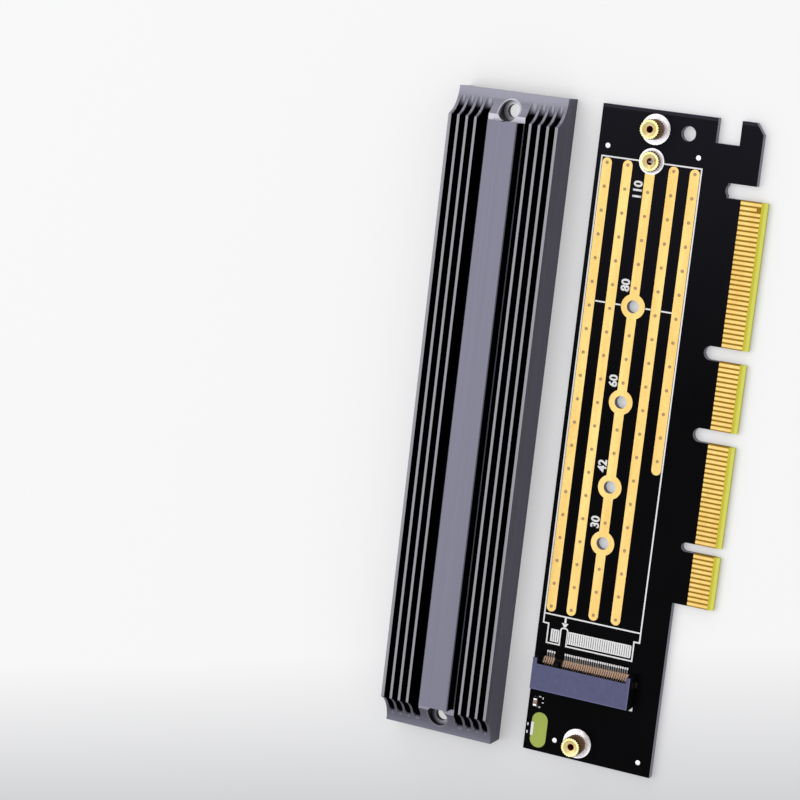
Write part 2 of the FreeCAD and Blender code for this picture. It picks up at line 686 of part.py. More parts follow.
def end_cuts(screw_from_end):
    """Cove, squared rail end, screw pocket and screw hole, for the end at y = 0."""
    side = LEDGE_HALF_WIDTH
    top = RAIL_TOP + CUT_MARGIN
    pocket_floor = UNDERCUT_DEPTH + SCREW_POCKET_WEB
    return [
        cove_cutter(),
        box(-side, side, -CUT_MARGIN, RAIL_SHORT_OF_END, LEDGE_TOP, top),
        disc(0, screw_from_end, SCREW_POCKET_DIAMETER, pocket_floor, top),
        disc(0, screw_from_end, SCREW_HOLE_DIAMETER, 0, top),
    ]


def heatsink():
    """As long as the board, and drilled where the board's tall standoffs are."""
    length = BOARD_FAR - BOARD_NEAR
    bar = heatsink_section().extrude(FreeCAD.Vector(0, length, 0))
    middle = FreeCAD.Vector(0, length / 2, 0)
    far_cuts = [cut.mirror(middle, FreeCAD.Vector(0, 1, 0)) for cut in end_cuts(BOARD_FAR - FAR_SCREW)]
    shaped = bar.cut(end_cuts(NEAR_SCREW - BOARD_NEAR) + far_cuts)
    return shaped.translated(FreeCAD.Vector(HEATSINK_CENTRE, BOARD_NEAR, 0))


# ---------------------------------------------------------------- write every piece

os.makedirs("parts", exist_ok=True)

save("circuit_board", [circuit_board()])
for number, strip in enumerate(heat_strips(), start=1):
    save("heat_strip_%d" % number, [strip])
rows = finger_rows()
for number, (start, count) in enumerate(rows, start=1):
    front_presence = count - 2 if number == len(rows) else None
    back_presence = 0 if number == 1 else None
    front = fingers(start, count, front_presence, BOARD_TOP - COPPER_THICKNESS, BOARD_TOP)
    back = fingers(start, count, back_presence, 0, COPPER_THICKNESS)
    save("front_fingers_%d" % number, front)
    save("back_fingers_%d" % number, back)
for name, (y, height, solder_diameter) in standoff_places().items():
    save(name, [standoff(y, height)])
    save(name + "_solder", [solder_ring(y, solder_diameter)])
save("socket_housing", [socket_housing()])
save("socket_lower_springs", spring_row(lower_spring(), first=2))
save("socket_upper_springs", spring_row(upper_spring(), first=1))
save("socket_hold_down_left", [mirrored_x(hold_down())])
save("socket_hold_down_right", [hold_down()])
save("chip_capacitor_body", [chip_body()])
save("chip_capacitor_ends", chip_end_caps())
save("chip_capacitor_pads", chip_pads())
save("heatsink", [heatsink()])
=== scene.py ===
# %% [markdown]
# # A drive adapter card beside its heatsink cover
# Two real things lie side by side on a pale table. One is a circuit board that carries a flat
# solid-state drive into an expansion slot. The other is the ribbed aluminium cover that is
# screwed over the drive. Their solids come from the CAD model, at their true size and place.
# Here they get their finishes, and the small things that a solid model leaves out: knurled
# standoffs with threads, solder, plated-through holes, and white ink on the board.
#
# Everything is in metres, in the CAD model's own frame: x runs from the heatsink to the gold
# contacts, y from the socket end to the hooked end, and z up from the table.

# %% The fixed frame
import math

import bpy
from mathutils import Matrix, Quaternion, Vector
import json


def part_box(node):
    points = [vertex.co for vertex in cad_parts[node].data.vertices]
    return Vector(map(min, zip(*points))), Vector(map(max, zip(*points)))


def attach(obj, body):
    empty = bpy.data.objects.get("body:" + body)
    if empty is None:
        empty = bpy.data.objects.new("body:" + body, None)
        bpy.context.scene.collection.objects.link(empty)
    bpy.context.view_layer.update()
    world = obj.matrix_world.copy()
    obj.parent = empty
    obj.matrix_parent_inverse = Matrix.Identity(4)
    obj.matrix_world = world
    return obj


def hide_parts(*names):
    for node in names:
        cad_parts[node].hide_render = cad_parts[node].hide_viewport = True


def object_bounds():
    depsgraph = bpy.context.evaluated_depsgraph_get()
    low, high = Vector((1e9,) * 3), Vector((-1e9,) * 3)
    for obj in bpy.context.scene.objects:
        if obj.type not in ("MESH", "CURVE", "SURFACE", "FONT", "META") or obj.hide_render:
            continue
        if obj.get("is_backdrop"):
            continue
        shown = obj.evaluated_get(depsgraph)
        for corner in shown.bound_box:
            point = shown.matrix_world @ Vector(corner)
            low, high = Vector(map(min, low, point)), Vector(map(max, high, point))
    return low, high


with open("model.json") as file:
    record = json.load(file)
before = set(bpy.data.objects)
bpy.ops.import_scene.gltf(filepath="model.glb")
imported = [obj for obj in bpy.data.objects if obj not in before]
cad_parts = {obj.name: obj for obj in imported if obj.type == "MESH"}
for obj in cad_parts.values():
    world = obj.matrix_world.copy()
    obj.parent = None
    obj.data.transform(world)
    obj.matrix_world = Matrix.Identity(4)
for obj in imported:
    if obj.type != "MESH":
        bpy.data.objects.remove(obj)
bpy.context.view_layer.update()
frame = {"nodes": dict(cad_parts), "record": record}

MM = 0.001
nodes = frame["nodes"]
mounts = {mount["name"]: Vector(mount["pos_m"]) for mount in frame["record"]["mounts"]}

# %% [markdown]
# ## The card's own datum
# A board designer measures from the drive: x from its centre line, and y from the line where
# its plug stops in the socket. The standoff that holds the longest drive, 110 mm, stands on
# both, so its mount in the record gives that datum. Print, fiducial dots and plated holes are
# then placed in millimetres from it, as on a drawing.

# %% Datum and a way to place things on the board
DRIVE_LENGTHS = (30, 42, 60, 80, 110)
datum = mounts["drive_standoff_thread"]
CENTRE_X, STOP_Y = datum.x, datum.y - DRIVE_LENGTHS[-1] * MM
BOARD_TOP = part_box("front_fingers_1")[1].z
COPPER_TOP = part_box("heat_strip_1")[1].z


def on_board(x, y, height=0.0):
    """A point of the board's upper face, from millimetres on the card's drawing."""
    return Vector((CENTRE_X + x * MM, STOP_Y + y * MM, BOARD_TOP + height * MM))


print("datum in mm", round(CENTRE_X / MM, 3), round(STOP_Y / MM, 3), "board", round(BOARD_TOP / MM, 3))

# %% [markdown]
# ## Helpers for modelling
# An operator works on whatever is selected, and the CAD nodes are selected after they are
# loaded. So each new piece starts with nothing selected. Faces, edges and vertices are then
# picked by their place or their normal, the way one would click them. A finished piece has its
# place in its mesh, gets a finish, and rides on the only body.

# %% Modelling helpers
FLAT = 0.9  # upward part of the normal of a face that counts as level
SAME_HEIGHT = 1e-6  # metres


def edit_all():
    """Edit mode, with all of the active piece selected."""
    bpy.ops.object.mode_set(mode="EDIT")
    bpy.ops.mesh.select_all(action="SELECT")


def stop_editing():
    bpy.ops.object.mode_set(mode="OBJECT")


def select_only(*pieces):
    """Object mode, with just these pieces selected and the first of them active."""
    if bpy.context.object and bpy.context.object.mode == "EDIT":
        stop_editing()
    bpy.ops.object.select_all(action="DESELECT")
    for piece in pieces:
        piece.select_set(True)
    bpy.context.view_layer.objects.active = pieces[0] if pieces else None


def apply_place():
    bpy.ops.object.transform_apply(location=True, rotation=True, scale=True)


def pick(kind, test):
    """In edit mode, leave selected only the vertices, edges or polygons that pass the test."""
    modes = {"vertices": "VERT", "edges": "EDGE", "polygons": "FACE"}
    bpy.ops.mesh.select_mode(type=modes[kind])
    bpy.ops.mesh.select_all(action="DESELECT")
    stop_editing()
    for element in getattr(bpy.context.object.data, kind):
        element.select = bool(test(element))
    bpy.ops.object.mode_set(mode="EDIT")


def pick_top():
    pick("polygons", lambda face: face.normal.z > FLAT)


def pick_bottom():
    pick("polygons", lambda face: face.normal.z < -FLAT)


def upright_cylinder(sides, radius, bottom, top, axis=(0, 0)):
    """A cylinder between two heights, as the active object, in edit mode."""
    select_only()
    bpy.ops.mesh.primitive_cylinder_add(
        vertices=sides, radius=radius, depth=top - bottom, location=(*axis, (bottom + top) / 2))
    edit_all()


def draw_in(scale):
    """Draw what is selected in or out about the piece's upright axis."""
    centre = bpy.context.object.location
    bpy.ops.transform.resize(value=(scale, scale, 1), center_override=centre)


def extrude_by(move, scale=1.0):
    """Extrude what is selected, and then draw it in or out."""
    bpy.ops.mesh.extrude_region_move(TRANSFORM_OT_translate={"value": move})
    if scale != 1.0:
        draw_in(scale)


def inset_by(*steps):
    """Inset what is selected, by widths and rises in millimetres, and stop editing."""
    for width, rise in steps:
        bpy.ops.mesh.inset(thickness=width * MM, depth=rise * MM)
    stop_editing()


def delete_faces():
    bpy.ops.mesh.delete(type="FACE")


def close_ring(height):
    """Bridge the two open rims at one height, and turn every face outwards."""
    vertices = bpy.context.object.data.vertices
    pick("edges", lambda edge: all(abs(vertices[i].co.z - height) < SAME_HEIGHT for i in edge.vertices))
    bpy.ops.mesh.bridge_edge_loops()
    edit_all()
    bpy.ops.mesh.normals_make_consistent(inside=False)
    stop_editing()


def join_all(pieces):
    """Join pieces into the first of them, which becomes the active object."""
    select_only(*pieces)
    bpy.ops.object.join()
    return pieces[0]


def copies_at(master, places):
    """One object that holds a copy of a modelled piece at each place; the master is used up."""
    copies = []
    for place in places:
        copy = bpy.data.objects.new(master.name, master.data.copy())
        bpy.context.collection.objects.link(copy)
        copy.location = place
        copies.append(copy)
    bpy.data.objects.remove(master)
    return join_all(copies)


def settle(name, finish, smooth=None, stands_for=()):
    """Finish the active piece: place in its mesh, name, finish, body, and what it replaces."""
    piece = bpy.context.object
    select_only(piece)
    apply_place()
    if smooth:
        bpy.ops.object.shade_smooth_by_angle(angle=math.radians(smooth))
    piece.name = name
    piece.data.name = name
    piece.data.materials.clear()
    piece.data.materials.append(finish)
    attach(piece, "root")
    for node in stands_for:
        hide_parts(node)
    piece.select_set(False)
    print(name, len(piece.data.polygons), "faces")
    return piece


# %% [markdown]
# ## Helpers for finishes
# A colour is written as people write it, in sRGB hex, and turned to the linear values that the
# renderer adds up. One small function adds any node, with its settings and links. Every pattern
# takes the Object coordinates, in metres, so its scale is one over a real size.

# %% Finish helpers
def linear(hex_colour):
    """sRGB hex to linear red, green, blue and alpha."""
    channels = [int(hex_colour[i:i + 2], 16) / 255 for i in (1, 3, 5)]
    return [c / 12.92 if c <= 0.04045 else ((c + 0.055) / 1.055) ** 2.4 for c in channels] + [1.0]


def add_node(tree, kind, settings=None, inputs=None):
    """Add a node. Settings are its properties; inputs are values, or sockets to link from."""
    node = tree.nodes.new(kind)
    for name, value in (settings or {}).items():
        setattr(node, name, value)
    for name, value in (inputs or {}).items():
        if isinstance(value, bpy.types.NodeSocket):
            tree.links.new(value, node.inputs[name])
        else:
            node.inputs[name].default_value = value
    return node


MIX_FACTOR, MIX_A, MIX_B, MIX_RESULT = 0, 6, 7, 2  # sockets of a Mix node set to colours


def blend(tree, factor, colour_a, colour_b):
    """The colour socket of a mix of two colours, each a hex value or a socket."""
    sides = [linear(c) if isinstance(c, str) else c for c in (colour_a, colour_b)]
    inputs = {MIX_FACTOR: factor, MIX_A: sides[0], MIX_B: sides[1]}
    return add_node(tree, "ShaderNodeMix", {"data_type": "RGBA"}, inputs).outputs[MIX_RESULT]


def choose(tree, factor, value_a, value_b):
    """The same for two numbers, on a Mix node's first sockets."""
    inputs = {MIX_FACTOR: factor, 2: value_a, 3: value_b}
    return add_node(tree, "ShaderNodeMix", {"data_type": "FLOAT"}, inputs).outputs[0]


def sums(tree, operation, *values):
    """The result socket of one step of arithmetic."""
    return add_node(tree, "ShaderNodeMath", {"operation": operation}, dict(enumerate(values))).outputs[0]


def new_finish(name, **values):
    """A material with its Principled shader set; returns material, node tree, shader, position."""
    material = bpy.data.materials.new(name)
    material.use_nodes = True
    tree = material.node_tree
    shader = tree.nodes["Principled BSDF"]
    for socket, value in values.items():
        shader.inputs[socket.replace("_", " ")].default_value = value
    position = add_node(tree, "ShaderNodeTexCoord").outputs["Object"]
    print("finish:", name)
    return material, tree, shader, position


def noise(tree, position, size, detail=2.0, stretch=(1, 1, 1)):
    """Noise whose blobs are about size millimetres, longer along an axis stretched by a factor."""
    scale = [1 / (size * MM * factor) for factor in stretch]
    place = add_node(tree, "ShaderNodeMapping", inputs={"Vector": position, "Scale": scale})
    inputs = {"Vector": place.outputs[0], "Scale": 1.0, "Detail": detail}
    return add_node(tree, "ShaderNodeTexNoise", inputs=inputs).outputs["Fac"]


def above(tree, value, limit):
    """1 where a value is above a limit, else 0."""
    return sums(tree, "GREATER_THAN", value, limit)


def below(tree, value, limit):
    """1 where a value is below a limit, else 0."""
    return sums(tree, "LESS_THAN", value, limit)


def aside(tree, value, middle):
    """How far a value is from the middle, to either side."""
    return sums(tree, "ABSOLUTE", sums(tree, "SUBTRACT", value, middle))


def between(tree, value, low, high):
    """1 where a value lies between two limits, else 0."""
    return below(tree, aside(tree, value, (low + high) / 2), (high - low) / 2)


def all_of(tree, first, *others):
    """1 where every zone is 1."""
    for zone in others:
        first = sums(tree, "MULTIPLY", first, zone)
    return first


def any_of(tree, first, *others):
    """1 where at least one zone is 1."""
    for zone in others:
        first = sums(tree, "MAXIMUM", first, zone)
    return first


def axes(tree, position):
    """The x, y and z sockets of a position."""
    return add_node(tree, "ShaderNodeSeparateXYZ", inputs={0: position}).outputs[:3]


def remap(tree, value, low=0, high=1, from_low=0.3, from_high=0.7):
    """Stretch the part of a noise that is really used to a range of the finish."""
    inputs = {"Value": value, "From Min": from_low, "From Max": from_high, "To Min": low, "To Max": high}
    return add_node(tree, "ShaderNodeMapRange", inputs=inputs).outputs[0]


def ramp(tree, value, start, end):
    """0 up to a start and 1 from an end, with an even rise between them."""
    return remap(tree, value, 0, 1, start, end)


def paint(tree, shader, colour, roughness):
    """Link a colour and a roughness to the shader."""
    tree.links.new(colour, shader.inputs["Base Color"])
    tree.links.new(roughness, shader.inputs["Roughness"])


def relief(tree, shader, height, depth, strength):
    """Bump from a height socket; depth is in millimetres."""
    inputs = {"Height": height, "Distance": depth * MM, "Strength": strength}
    bump = add_node(tree, "ShaderNodeBump", inputs=inputs)
    tree.links.new(bump.outputs[0], shader.inputs["Normal"])


# %% [markdown]
# ## Finish: black solder mask over glass laminate
# The board is sheets of woven glass in epoxy, pressed and then coated with a black light-cured
# lacquer, the solder mask. The lacquer is smooth and a little glossy, with the slight waviness
# of a poured film. Towards the far end its black is painted greyer, a painted sheen, and the far
# rim is painted greyer still, a painted highlight. Where it is left off, the laminate shows in
# yellow-green: in the round-ended window, between the gold contacts and on their bevel. Between
# the contacts it is painted brown, as painted shade of the narrow gaps and painted reflection of
# the gold. Its weave is about half a millimetre from thread to thread. The routed edges of the
# body are painted grey, for the layers of glass in them and a painted sheen where the lamp
# catches them. One material holds it all, because it is one node, and picks each zone by its place.

# %% Solder mask and laminate
board_low, board_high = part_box("circuit_board")
finger_low, finger_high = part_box("front_fingers_4")
WEAVE_PITCH = 0.5
MASK_FILM = 0.02
BEVEL_FROM, BEVEL_TO = 0.4, 0.7  # past the contacts
WINDOW_LEFT, WINDOW_RIGHT, WINDOW_NEAR = 1.0, 5.2, 0.5  # from the board's near left corner
TONGUE_PAST_CONTACTS = 0.5
SHEEN_START = 10.0  # y from which the black turns greyer
FAR_RIM_HIGHLIGHT = 0.7  # of the board, where it is greyest


def woven_glass(tree, position):
    """The glass weave, seen as faint threads that cross in the clear epoxy."""
    threads = []
    for axis in ("X", "Y"):
        wave = add_node(tree, "ShaderNodeTexWave", {"bands_direction": axis}, {
            "Vector": position, "Scale": math.pi / 10 / (WEAVE_PITCH * MM),
            "Distortion": 0.6, "Detail": 1.0})
        threads.append(wave.outputs["Fac"])
    return sums(tree, "MULTIPLY", *threads)


def tongue_colours(tree, position, x):
    """Laminate between the contacts, then the yellow flat past them, then the paler bevel."""
    # Painted shade and painted reflection: the laminate between the contacts is painted brown.
    gap_shade_brown = blend(tree, noise(tree, position, 0.4), "#8a6a18", "#a9852c")
    streaks = noise(tree, position, 0.35, 2, (1, 6, 0.3))
    flat_yellow = blend(tree, streaks, "#cfc63a", "#d9d346")
    bevel_yellow = blend(tree, streaks, "#dfdd58", "#ebea7c")
    to_bevel = ramp(tree, x, finger_high.x + BEVEL_FROM * MM, finger_high.x + BEVEL_TO * MM)
    past_contacts = blend(tree, to_bevel, flat_yellow, bevel_yellow)
    return blend(tree, above(tree, x, finger_high.x), gap_shade_brown, past_contacts)


def solder_mask_on_laminate():
    material, tree, shader, position = new_finish(
        "solder mask on laminate", IOR=1.5, Specular_IOR_Level=0.02)
    x, y, z = axes(tree, position)
    below_film = between(tree, z, MASK_FILM * MM, BOARD_TOP - MASK_FILM * MM)
    short_of_tab = below(tree, y, finger_high.y + TONGUE_PAST_CONTACTS * MM)
    tongue = all_of(tree, above(tree, x, finger_low.x), short_of_tab)
    window_x = between(tree, x, board_low.x + WINDOW_LEFT * MM, board_low.x + WINDOW_RIGHT * MM)
    window_y = between(tree, y, board_low.y + WINDOW_NEAR * MM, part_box("chip_capacitor_pads")[0].y)
    window = all_of(tree, window_x, window_y, below_film)

    window_green = blend(tree, woven_glass(tree, position), "#a9b85c", "#b7c266")
    # The routed edges: grey for their glass layers, and lighter still as a painted sheen.
    edge_grey = blend(tree, noise(tree, position, 0.25, 2, (12, 12, 0.5)), "#83828c", "#b1afb9")
    mask_black = blend(tree, noise(tree, position, 9), "#030304", "#060609")
    # Painted sheen: the black is painted greyer towards the far end.
    sheen = remap(tree, y, 0, 0.8, SHEEN_START * MM, board_high.y)
    mask_black = blend(tree, sheen, mask_black, "#1b1b22")
    # Painted highlight: the board's far rim is painted greyer still.
    face = blend(tree, above(tree, y, board_high.y - FAR_RIM_HIGHLIGHT * MM), mask_black, "#2f2d36")
    face = blend(tree, below_film, face, edge_grey)
    face = blend(tree, window, face, window_green)
    face = blend(tree, tongue, face, tongue_colours(tree, position, x))
    bare = any_of(tree, below_film, tongue, window)
    film_gloss = remap(tree, noise(tree, position, 4), 0.30, 0.40)
    paint(tree, shader, face, choose(tree, bare, film_gloss, 0.6))
    relief(tree, shader, noise(tree, position, 1.6, 3), 0.02, 0.35)
    return material


solder_mask = solder_mask_on_laminate()

# %% [markdown]
# ## Finish: gold plate
# Nickel and then a thin skin of gold are plated on the copper of the strips and contacts. Gold
# plate on etched copper is satin, not a mirror: the copper's grain shows through, and the tone
# drifts a little along a strip. It is a metal, so its colour is in its reflection.

# %% Gold plate
CONTACT_PITCH, CONTACT_WIDTH = 1.0, 0.7
SHADE_FROM, SHADE_TO = 0.18, 0.36  # from a contact's middle, where its flank darkens


def gold_plate(name, on_contacts):
    material, tree, shader, position = new_finish(name, Metallic=1.0)
    drift = remap(tree, noise(tree, position, 5, 3, (0.5, 3, 1)))
    colour = blend(tree, drift, "#dab66b", "#e5c67e")
    if on_contacts:
        y = axes(tree, position)[1]
        first_middle = finger_low.y + CONTACT_WIDTH * MM / 2
        half_pitch = CONTACT_PITCH * MM / 2
        from_middle = sums(tree, "PINGPONG", sums(tree, "SUBTRACT", y, first_middle), half_pitch)
        # Painted shade: each contact is painted darker towards its flanks.
        flank = ramp(tree, from_middle, SHADE_FROM * MM, SHADE_TO * MM)
        colour = blend(tree, flank, colour, "#b78c3a")
    grain = noise(tree, position, 0.12, 3, (1, 4, 1))
    paint(tree, shader, colour, remap(tree, grain, 0.34, 0.5))
    relief(tree, shader, grain, 0.004, 0.5)
    return material


gold = gold_plate("gold plate on copper", on_contacts=False)
contact_gold = gold_plate("gold plate on contacts", on_contacts=True)

# %% [markdown]
# ## Finish: turned brass
# The standoffs are turned from brass bar and flash-gilt. The brass comes in three copies, one
# for each way a face looks. The faces on top get a pale copy, a painted highlight. The knurled
# side gets a dark brown one, a painted shade, and only the crests of the knurling catch the
# light. The threaded bore gets a red-brown one, a painted shade for the light that goes from
# brass to brass down it. Fine rings about the axis, taken as bands of height, break the highlight
# on all three.

# %% Turned brass
def turned_brass(name, colours, roughness):
    material, tree, shader, position = new_finish(name, Metallic=1.0)
    rings = noise(tree, position, 0.12, 2, (6, 6, 1))
    colour = blend(tree, remap(tree, rings), *colours)
    paint(tree, shader, colour, remap(tree, rings, *roughness))
    relief(tree, shader, rings, 0.006, 0.4)
    return material


# A pale copy for painted light on faces that look up; brown copies for painted shade.
top_lit_brass = turned_brass("bright turned brass", ("#f6d77e", "#fff3c4"), (0.28, 0.42))
side_shaded_brass = turned_brass("stained knurled brass", ("#3a2208", "#b58538"), (0.3, 0.45))
bore_shaded_brass = turned_brass("threaded bore", ("#7e2c0c", "#c06a2c"), (0.35, 0.5))

# %% [markdown]
# ## Finish: tin solder
# Reflowed solder freezes with a bright, slightly rippled skin: near white, smooth enough to show
# the lamps as soft patches, with a few frosty grains. The same tin covers the chip's ends and
# the fiducial dots.

# %% Tin solder
def tin_solder():
    material, tree, shader, position = new_finish("tin solder", Metallic=1.0)
    frost = remap(tree, noise(tree, position, 0.5, 3))
    gloss = remap(tree, noise(tree, position, 0.3), 0.22, 0.4)
    paint(tree, shader, blend(tree, frost, "#cac5c9", "#e9e5e8"), gloss)
    relief(tree, shader, noise(tree, position, 0.6, 2), 0.02, 0.4)
    return material


solder = tin_solder()

# %% [markdown]
# ## Finish: the socket's moulded plastic
# The socket is moulded in a stiff liquid-crystal polymer. Its roof is slate blue-violet under
# the lamp, with a matt, faintly fibrous skin, and a paler line along its near and right-hand
# edges that is a painted highlight. Below the roof the plastic is painted black, a painted shade,
# except in the comb: there the thin walls stand so close between the springs that they take on
# the tone of the copper.

# %% Moulded plastic
housing_low, housing_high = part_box("socket_housing")
ROOF_SKIN = 0.04
EDGE_HIGHLIGHT_WIDTH = 0.16
COMB_START, COMB_LEFT, COMB_RIGHT = 5.6, 1.5, 1.4  # inside the housing's box
KEY_GAP = (-7.1, -5.15)  # x on the card's drawing


def moulded_socket_plastic():
    material, tree, shader, position = new_finish(
        "moulded liquid-crystal polymer", IOR=1.6, Specular_IOR_Level=0.1)
    x, y, z = axes(tree, position)
    roof = above(tree, z, housing_high.z - ROOF_SKIN * MM)
    # Painted highlight: a paler line along the roof's near and right-hand edges.
    near_highlight = below(tree, y, housing_low.y + EDGE_HIGHLIGHT_WIDTH * MM)
    side_highlight = above(tree, x, housing_high.x - EDGE_HIGHLIGHT_WIDTH * MM)
    slate = blend(tree, remap(tree, noise(tree, position, 1.2, 2)), "#58597a", "#5f6082")
    slate = blend(tree, any_of(tree, near_highlight, side_highlight), slate, "#73749a")
    in_front = above(tree, y, housing_low.y + COMB_START * MM)
    contacts = between(tree, x, housing_low.x + COMB_LEFT * MM, housing_high.x - COMB_RIGHT * MM)
    at_key = between(tree, x, *(CENTRE_X + side * MM for side in KEY_GAP))
    comb = all_of(tree, in_front, contacts, sums(tree, "SUBTRACT", 1.0, at_key))
    # Painted shade: below the roof the plastic is painted near black; in the comb it is copper.
    inside = blend(tree, comb, "#08080c", "#c6a68e")
    gloss = remap(tree, noise(tree, position, 0.3), 0.5, 0.65)
    paint(tree, shader, blend(tree, roof, inside, slate), gloss)
    relief(tree, shader, noise(tree, position, 0.1, 2, (3, 1, 1)), 0.006, 0.5)
    return material


socket_plastic = moulded_socket_plastic()

# %% [markdown]
# ## Finish: contact springs
# Each contact is stamped from copper alloy. The spring in the slot keeps the warm tone of thin
# gold over copper. The tail outside is tinned and dull, and its end shines in white solder. The
# changes of colour are lines across the board, so they are taken from y.

# %% Contact springs
TAIL_SOLDER = 0.45
TAIL_BEHIND, TAIL_IN_FRONT = -0.1, -0.15  # where the tails come out of the housing
springs_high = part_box("socket_lower_springs")[1]


def sprung_copper():
    material, tree, shader, position = new_finish("sprung copper alloy", Metallic=0.2)
    y = axes(tree, position)[1]
    body = between(tree, y, housing_low.y + TAIL_BEHIND * MM, housing_high.y + TAIL_IN_FRONT * MM)
    soldered = above(tree, y, springs_high.y - TAIL_SOLDER * MM)
    warm = blend(tree, noise(tree, position, 0.6), "#e8c3a6", "#f9e6d3")
    tinned = blend(tree, noise(tree, position, 0.4), "#6f6a68", "#8f8b88")
    outside = blend(tree, soldered, tinned, "#f4f3f2")
    gloss = remap(tree, noise(tree, position, 0.2), 0.3, 0.45)
    paint(tree, shader, blend(tree, body, outside, warm), gloss)
    return material


contact_spring = sprung_copper()

# %% [markdown]
# ## Finish: anodised aluminium
# The heatsink is an aluminium extrusion, milled to a cove at both ends and anodised grey.
# Extruding draws fine lines along its whole length; milling leaves marks across the coves.
# Between the fins the channels are painted black, a painted shade for the depth that takes all
# the light. How deep a point lies is its height under the envelope that the fins' tops and the
# coves make together, and that is a short sum over y and z. The far cove is painted paler, as
# painted light, with a soft light column at the mouth of each channel. The near one is painted a
# tone darker, as painted shade, with a sharp black point where each channel breaks out. The two
# outer walls are painted darker as painted shade, and the pocket rims and level faces near the
# ends get a painted highlight.

# %% Where the extrusion is deep, and where it is milled
heatsink_low, heatsink_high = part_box("heatsink")
HEATSINK_MIDDLE = (heatsink_low.x + heatsink_high.x) / 2
FIN_TOP = heatsink_high.z - 0.4 * MM
LEDGE_TOP = 7.1 * MM
COVE_RADIUS = 6.3
COVE_CENTRE = 11.1 * MM
RAIL_SIDE, LEDGE_LINE, LEDGE_SIDE = 3.38, 3.9, 4.2
RAIL_SHORT_OF_END = 6.12
POCKET_RADIUS = 2.25
POCKET_FLOOR = 3.6 * MM
SCREW_FROM_NEAR_END, SCREW_FROM_FAR_END = 3.65, 3.95
ON_FACE, WALL_SKIN = 0.05, 0.03  # nearness to a level face, and to a wall
SHARP_SHADE = (0.04 * MM, 0.16 * MM)  # depths from the first shade to black
FAR_COVE_SHADE = (0.3 * MM, 1.3 * MM)
NEAR_COVE_SHADE = (0.02 * MM, 0.35 * MM)
RAIL_CHAMFER_DEPTH = 0.19
LEDGE_LIGHT = 0.6


def places_on_heatsink(tree, position):
    """A point's x, y and z, how far it is from the nearer end and off the middle, and its half."""
    x, y, z = axes(tree, position)
    from_centre = aside(tree, y, (heatsink_high.y + heatsink_low.y) / 2)
    from_end = sums(tree, "SUBTRACT", (heatsink_high.y - heatsink_low.y) / 2, from_centre)
    return x, y, z, from_end, aside(tree, x, HEATSINK_MIDDLE), below(tree, y, 0.0)


def at_height(tree, z, height):
    """1 on the level faces at one height."""
    return between(tree, z, height - ON_FACE * MM, height + ON_FACE * MM)


def inside_walls(tree, off_middle):
    """1 everywhere but on the two long outer walls."""
    return below(tree, off_middle, heatsink_high.x - HEATSINK_MIDDLE - WALL_SKIN * MM)


def depth_in_extrusion(tree, from_end, z):
    """How far a point is under the envelope of fin tops and coves."""
    square = sums(tree, "MULTIPLY", from_end, from_end)
    squared_rise = sums(tree, "SUBTRACT", (COVE_RADIUS * MM) ** 2, square)
    rise = sums(tree, "SQRT", sums(tree, "MAXIMUM", squared_rise, 0.0))
    cove = sums(tree, "SUBTRACT", COVE_CENTRE, rise)
    return sums(tree, "SUBTRACT", sums(tree, "MINIMUM", cove, FIN_TOP), z)


def from_screw(tree, x, y):
    """Distance in plan from the nearer of the two screw pockets."""
    distances = []
    for screw_y in (heatsink_low.y + SCREW_FROM_NEAR_END * MM, heatsink_high.y - SCREW_FROM_FAR_END * MM):
        along, across = aside(tree, y, screw_y), aside(tree, x, HEATSINK_MIDDLE)
        squares = sums(tree, "ADD", sums(tree, "POWER", along, 2.0), sums(tree, "POWER", across, 2.0))
        distances.append(sums(tree, "SQRT", squares))
    return sums(tree, "MINIMUM", *distances)


def shade_between_fins(tree, z, from_end, off_middle, near):
    """1 in the channels, beside the rail and down the screw pockets; 0 on what the lamp reaches."""
    depth = depth_in_extrusion(tree, from_end, z)
    straight = above(tree, from_end, RAIL_SHORT_OF_END * MM)
    cove = choose(tree, near, ramp(tree, depth, *FAR_COVE_SHADE), ramp(tree, depth, *NEAR_COVE_SHADE))
    shade = choose(tree, straight, cove, ramp(tree, depth, *SHARP_SHADE))
    beside_rail = between(tree, off_middle, RAIL_SIDE * MM, LEDGE_SIDE * MM)
    under_chamfer = below(tree, z, heatsink_high.z - RAIL_CHAMFER_DEPTH * MM)
    shade = any_of(tree, shade, all_of(tree, straight, beside_rail, under_chamfer))
    on_ledge = above(tree, z, LEDGE_TOP - ON_FACE * MM)
    line = between(tree, off_middle, LEDGE_LINE * MM, LEDGE_SIDE * MM)
    ledge_line = all_of(tree, straight, on_ledge, line)
    past_rail = all_of(tree, below(tree, off_middle, LEDGE_SIDE * MM), on_ledge,
                       below(tree, from_end, RAIL_SHORT_OF_END * MM))
    outer_wall = sums(tree, "SUBTRACT", 1.0, inside_walls(tree, off_middle))
    end_face = below(tree, from_end, WALL_SKIN * MM)
    lit = any_of(tree, past_rail, at_height(tree, z, POCKET_FLOOR), outer_wall, end_face)
    dim = sums(tree, "MULTIPLY", ledge_line, LEDGE_LIGHT)
    return sums(tree, "MINIMUM", shade, sums(tree, "SUBTRACT", 1.0, any_of(tree, lit, dim)))


print("cove in mm", COVE_RADIUS, "fins to", round(FIN_TOP / MM, 2))

# %% Anodised aluminium
DRAW_LINE = 0.16
RIM_HIGHLIGHT_WIDTH = 0.3


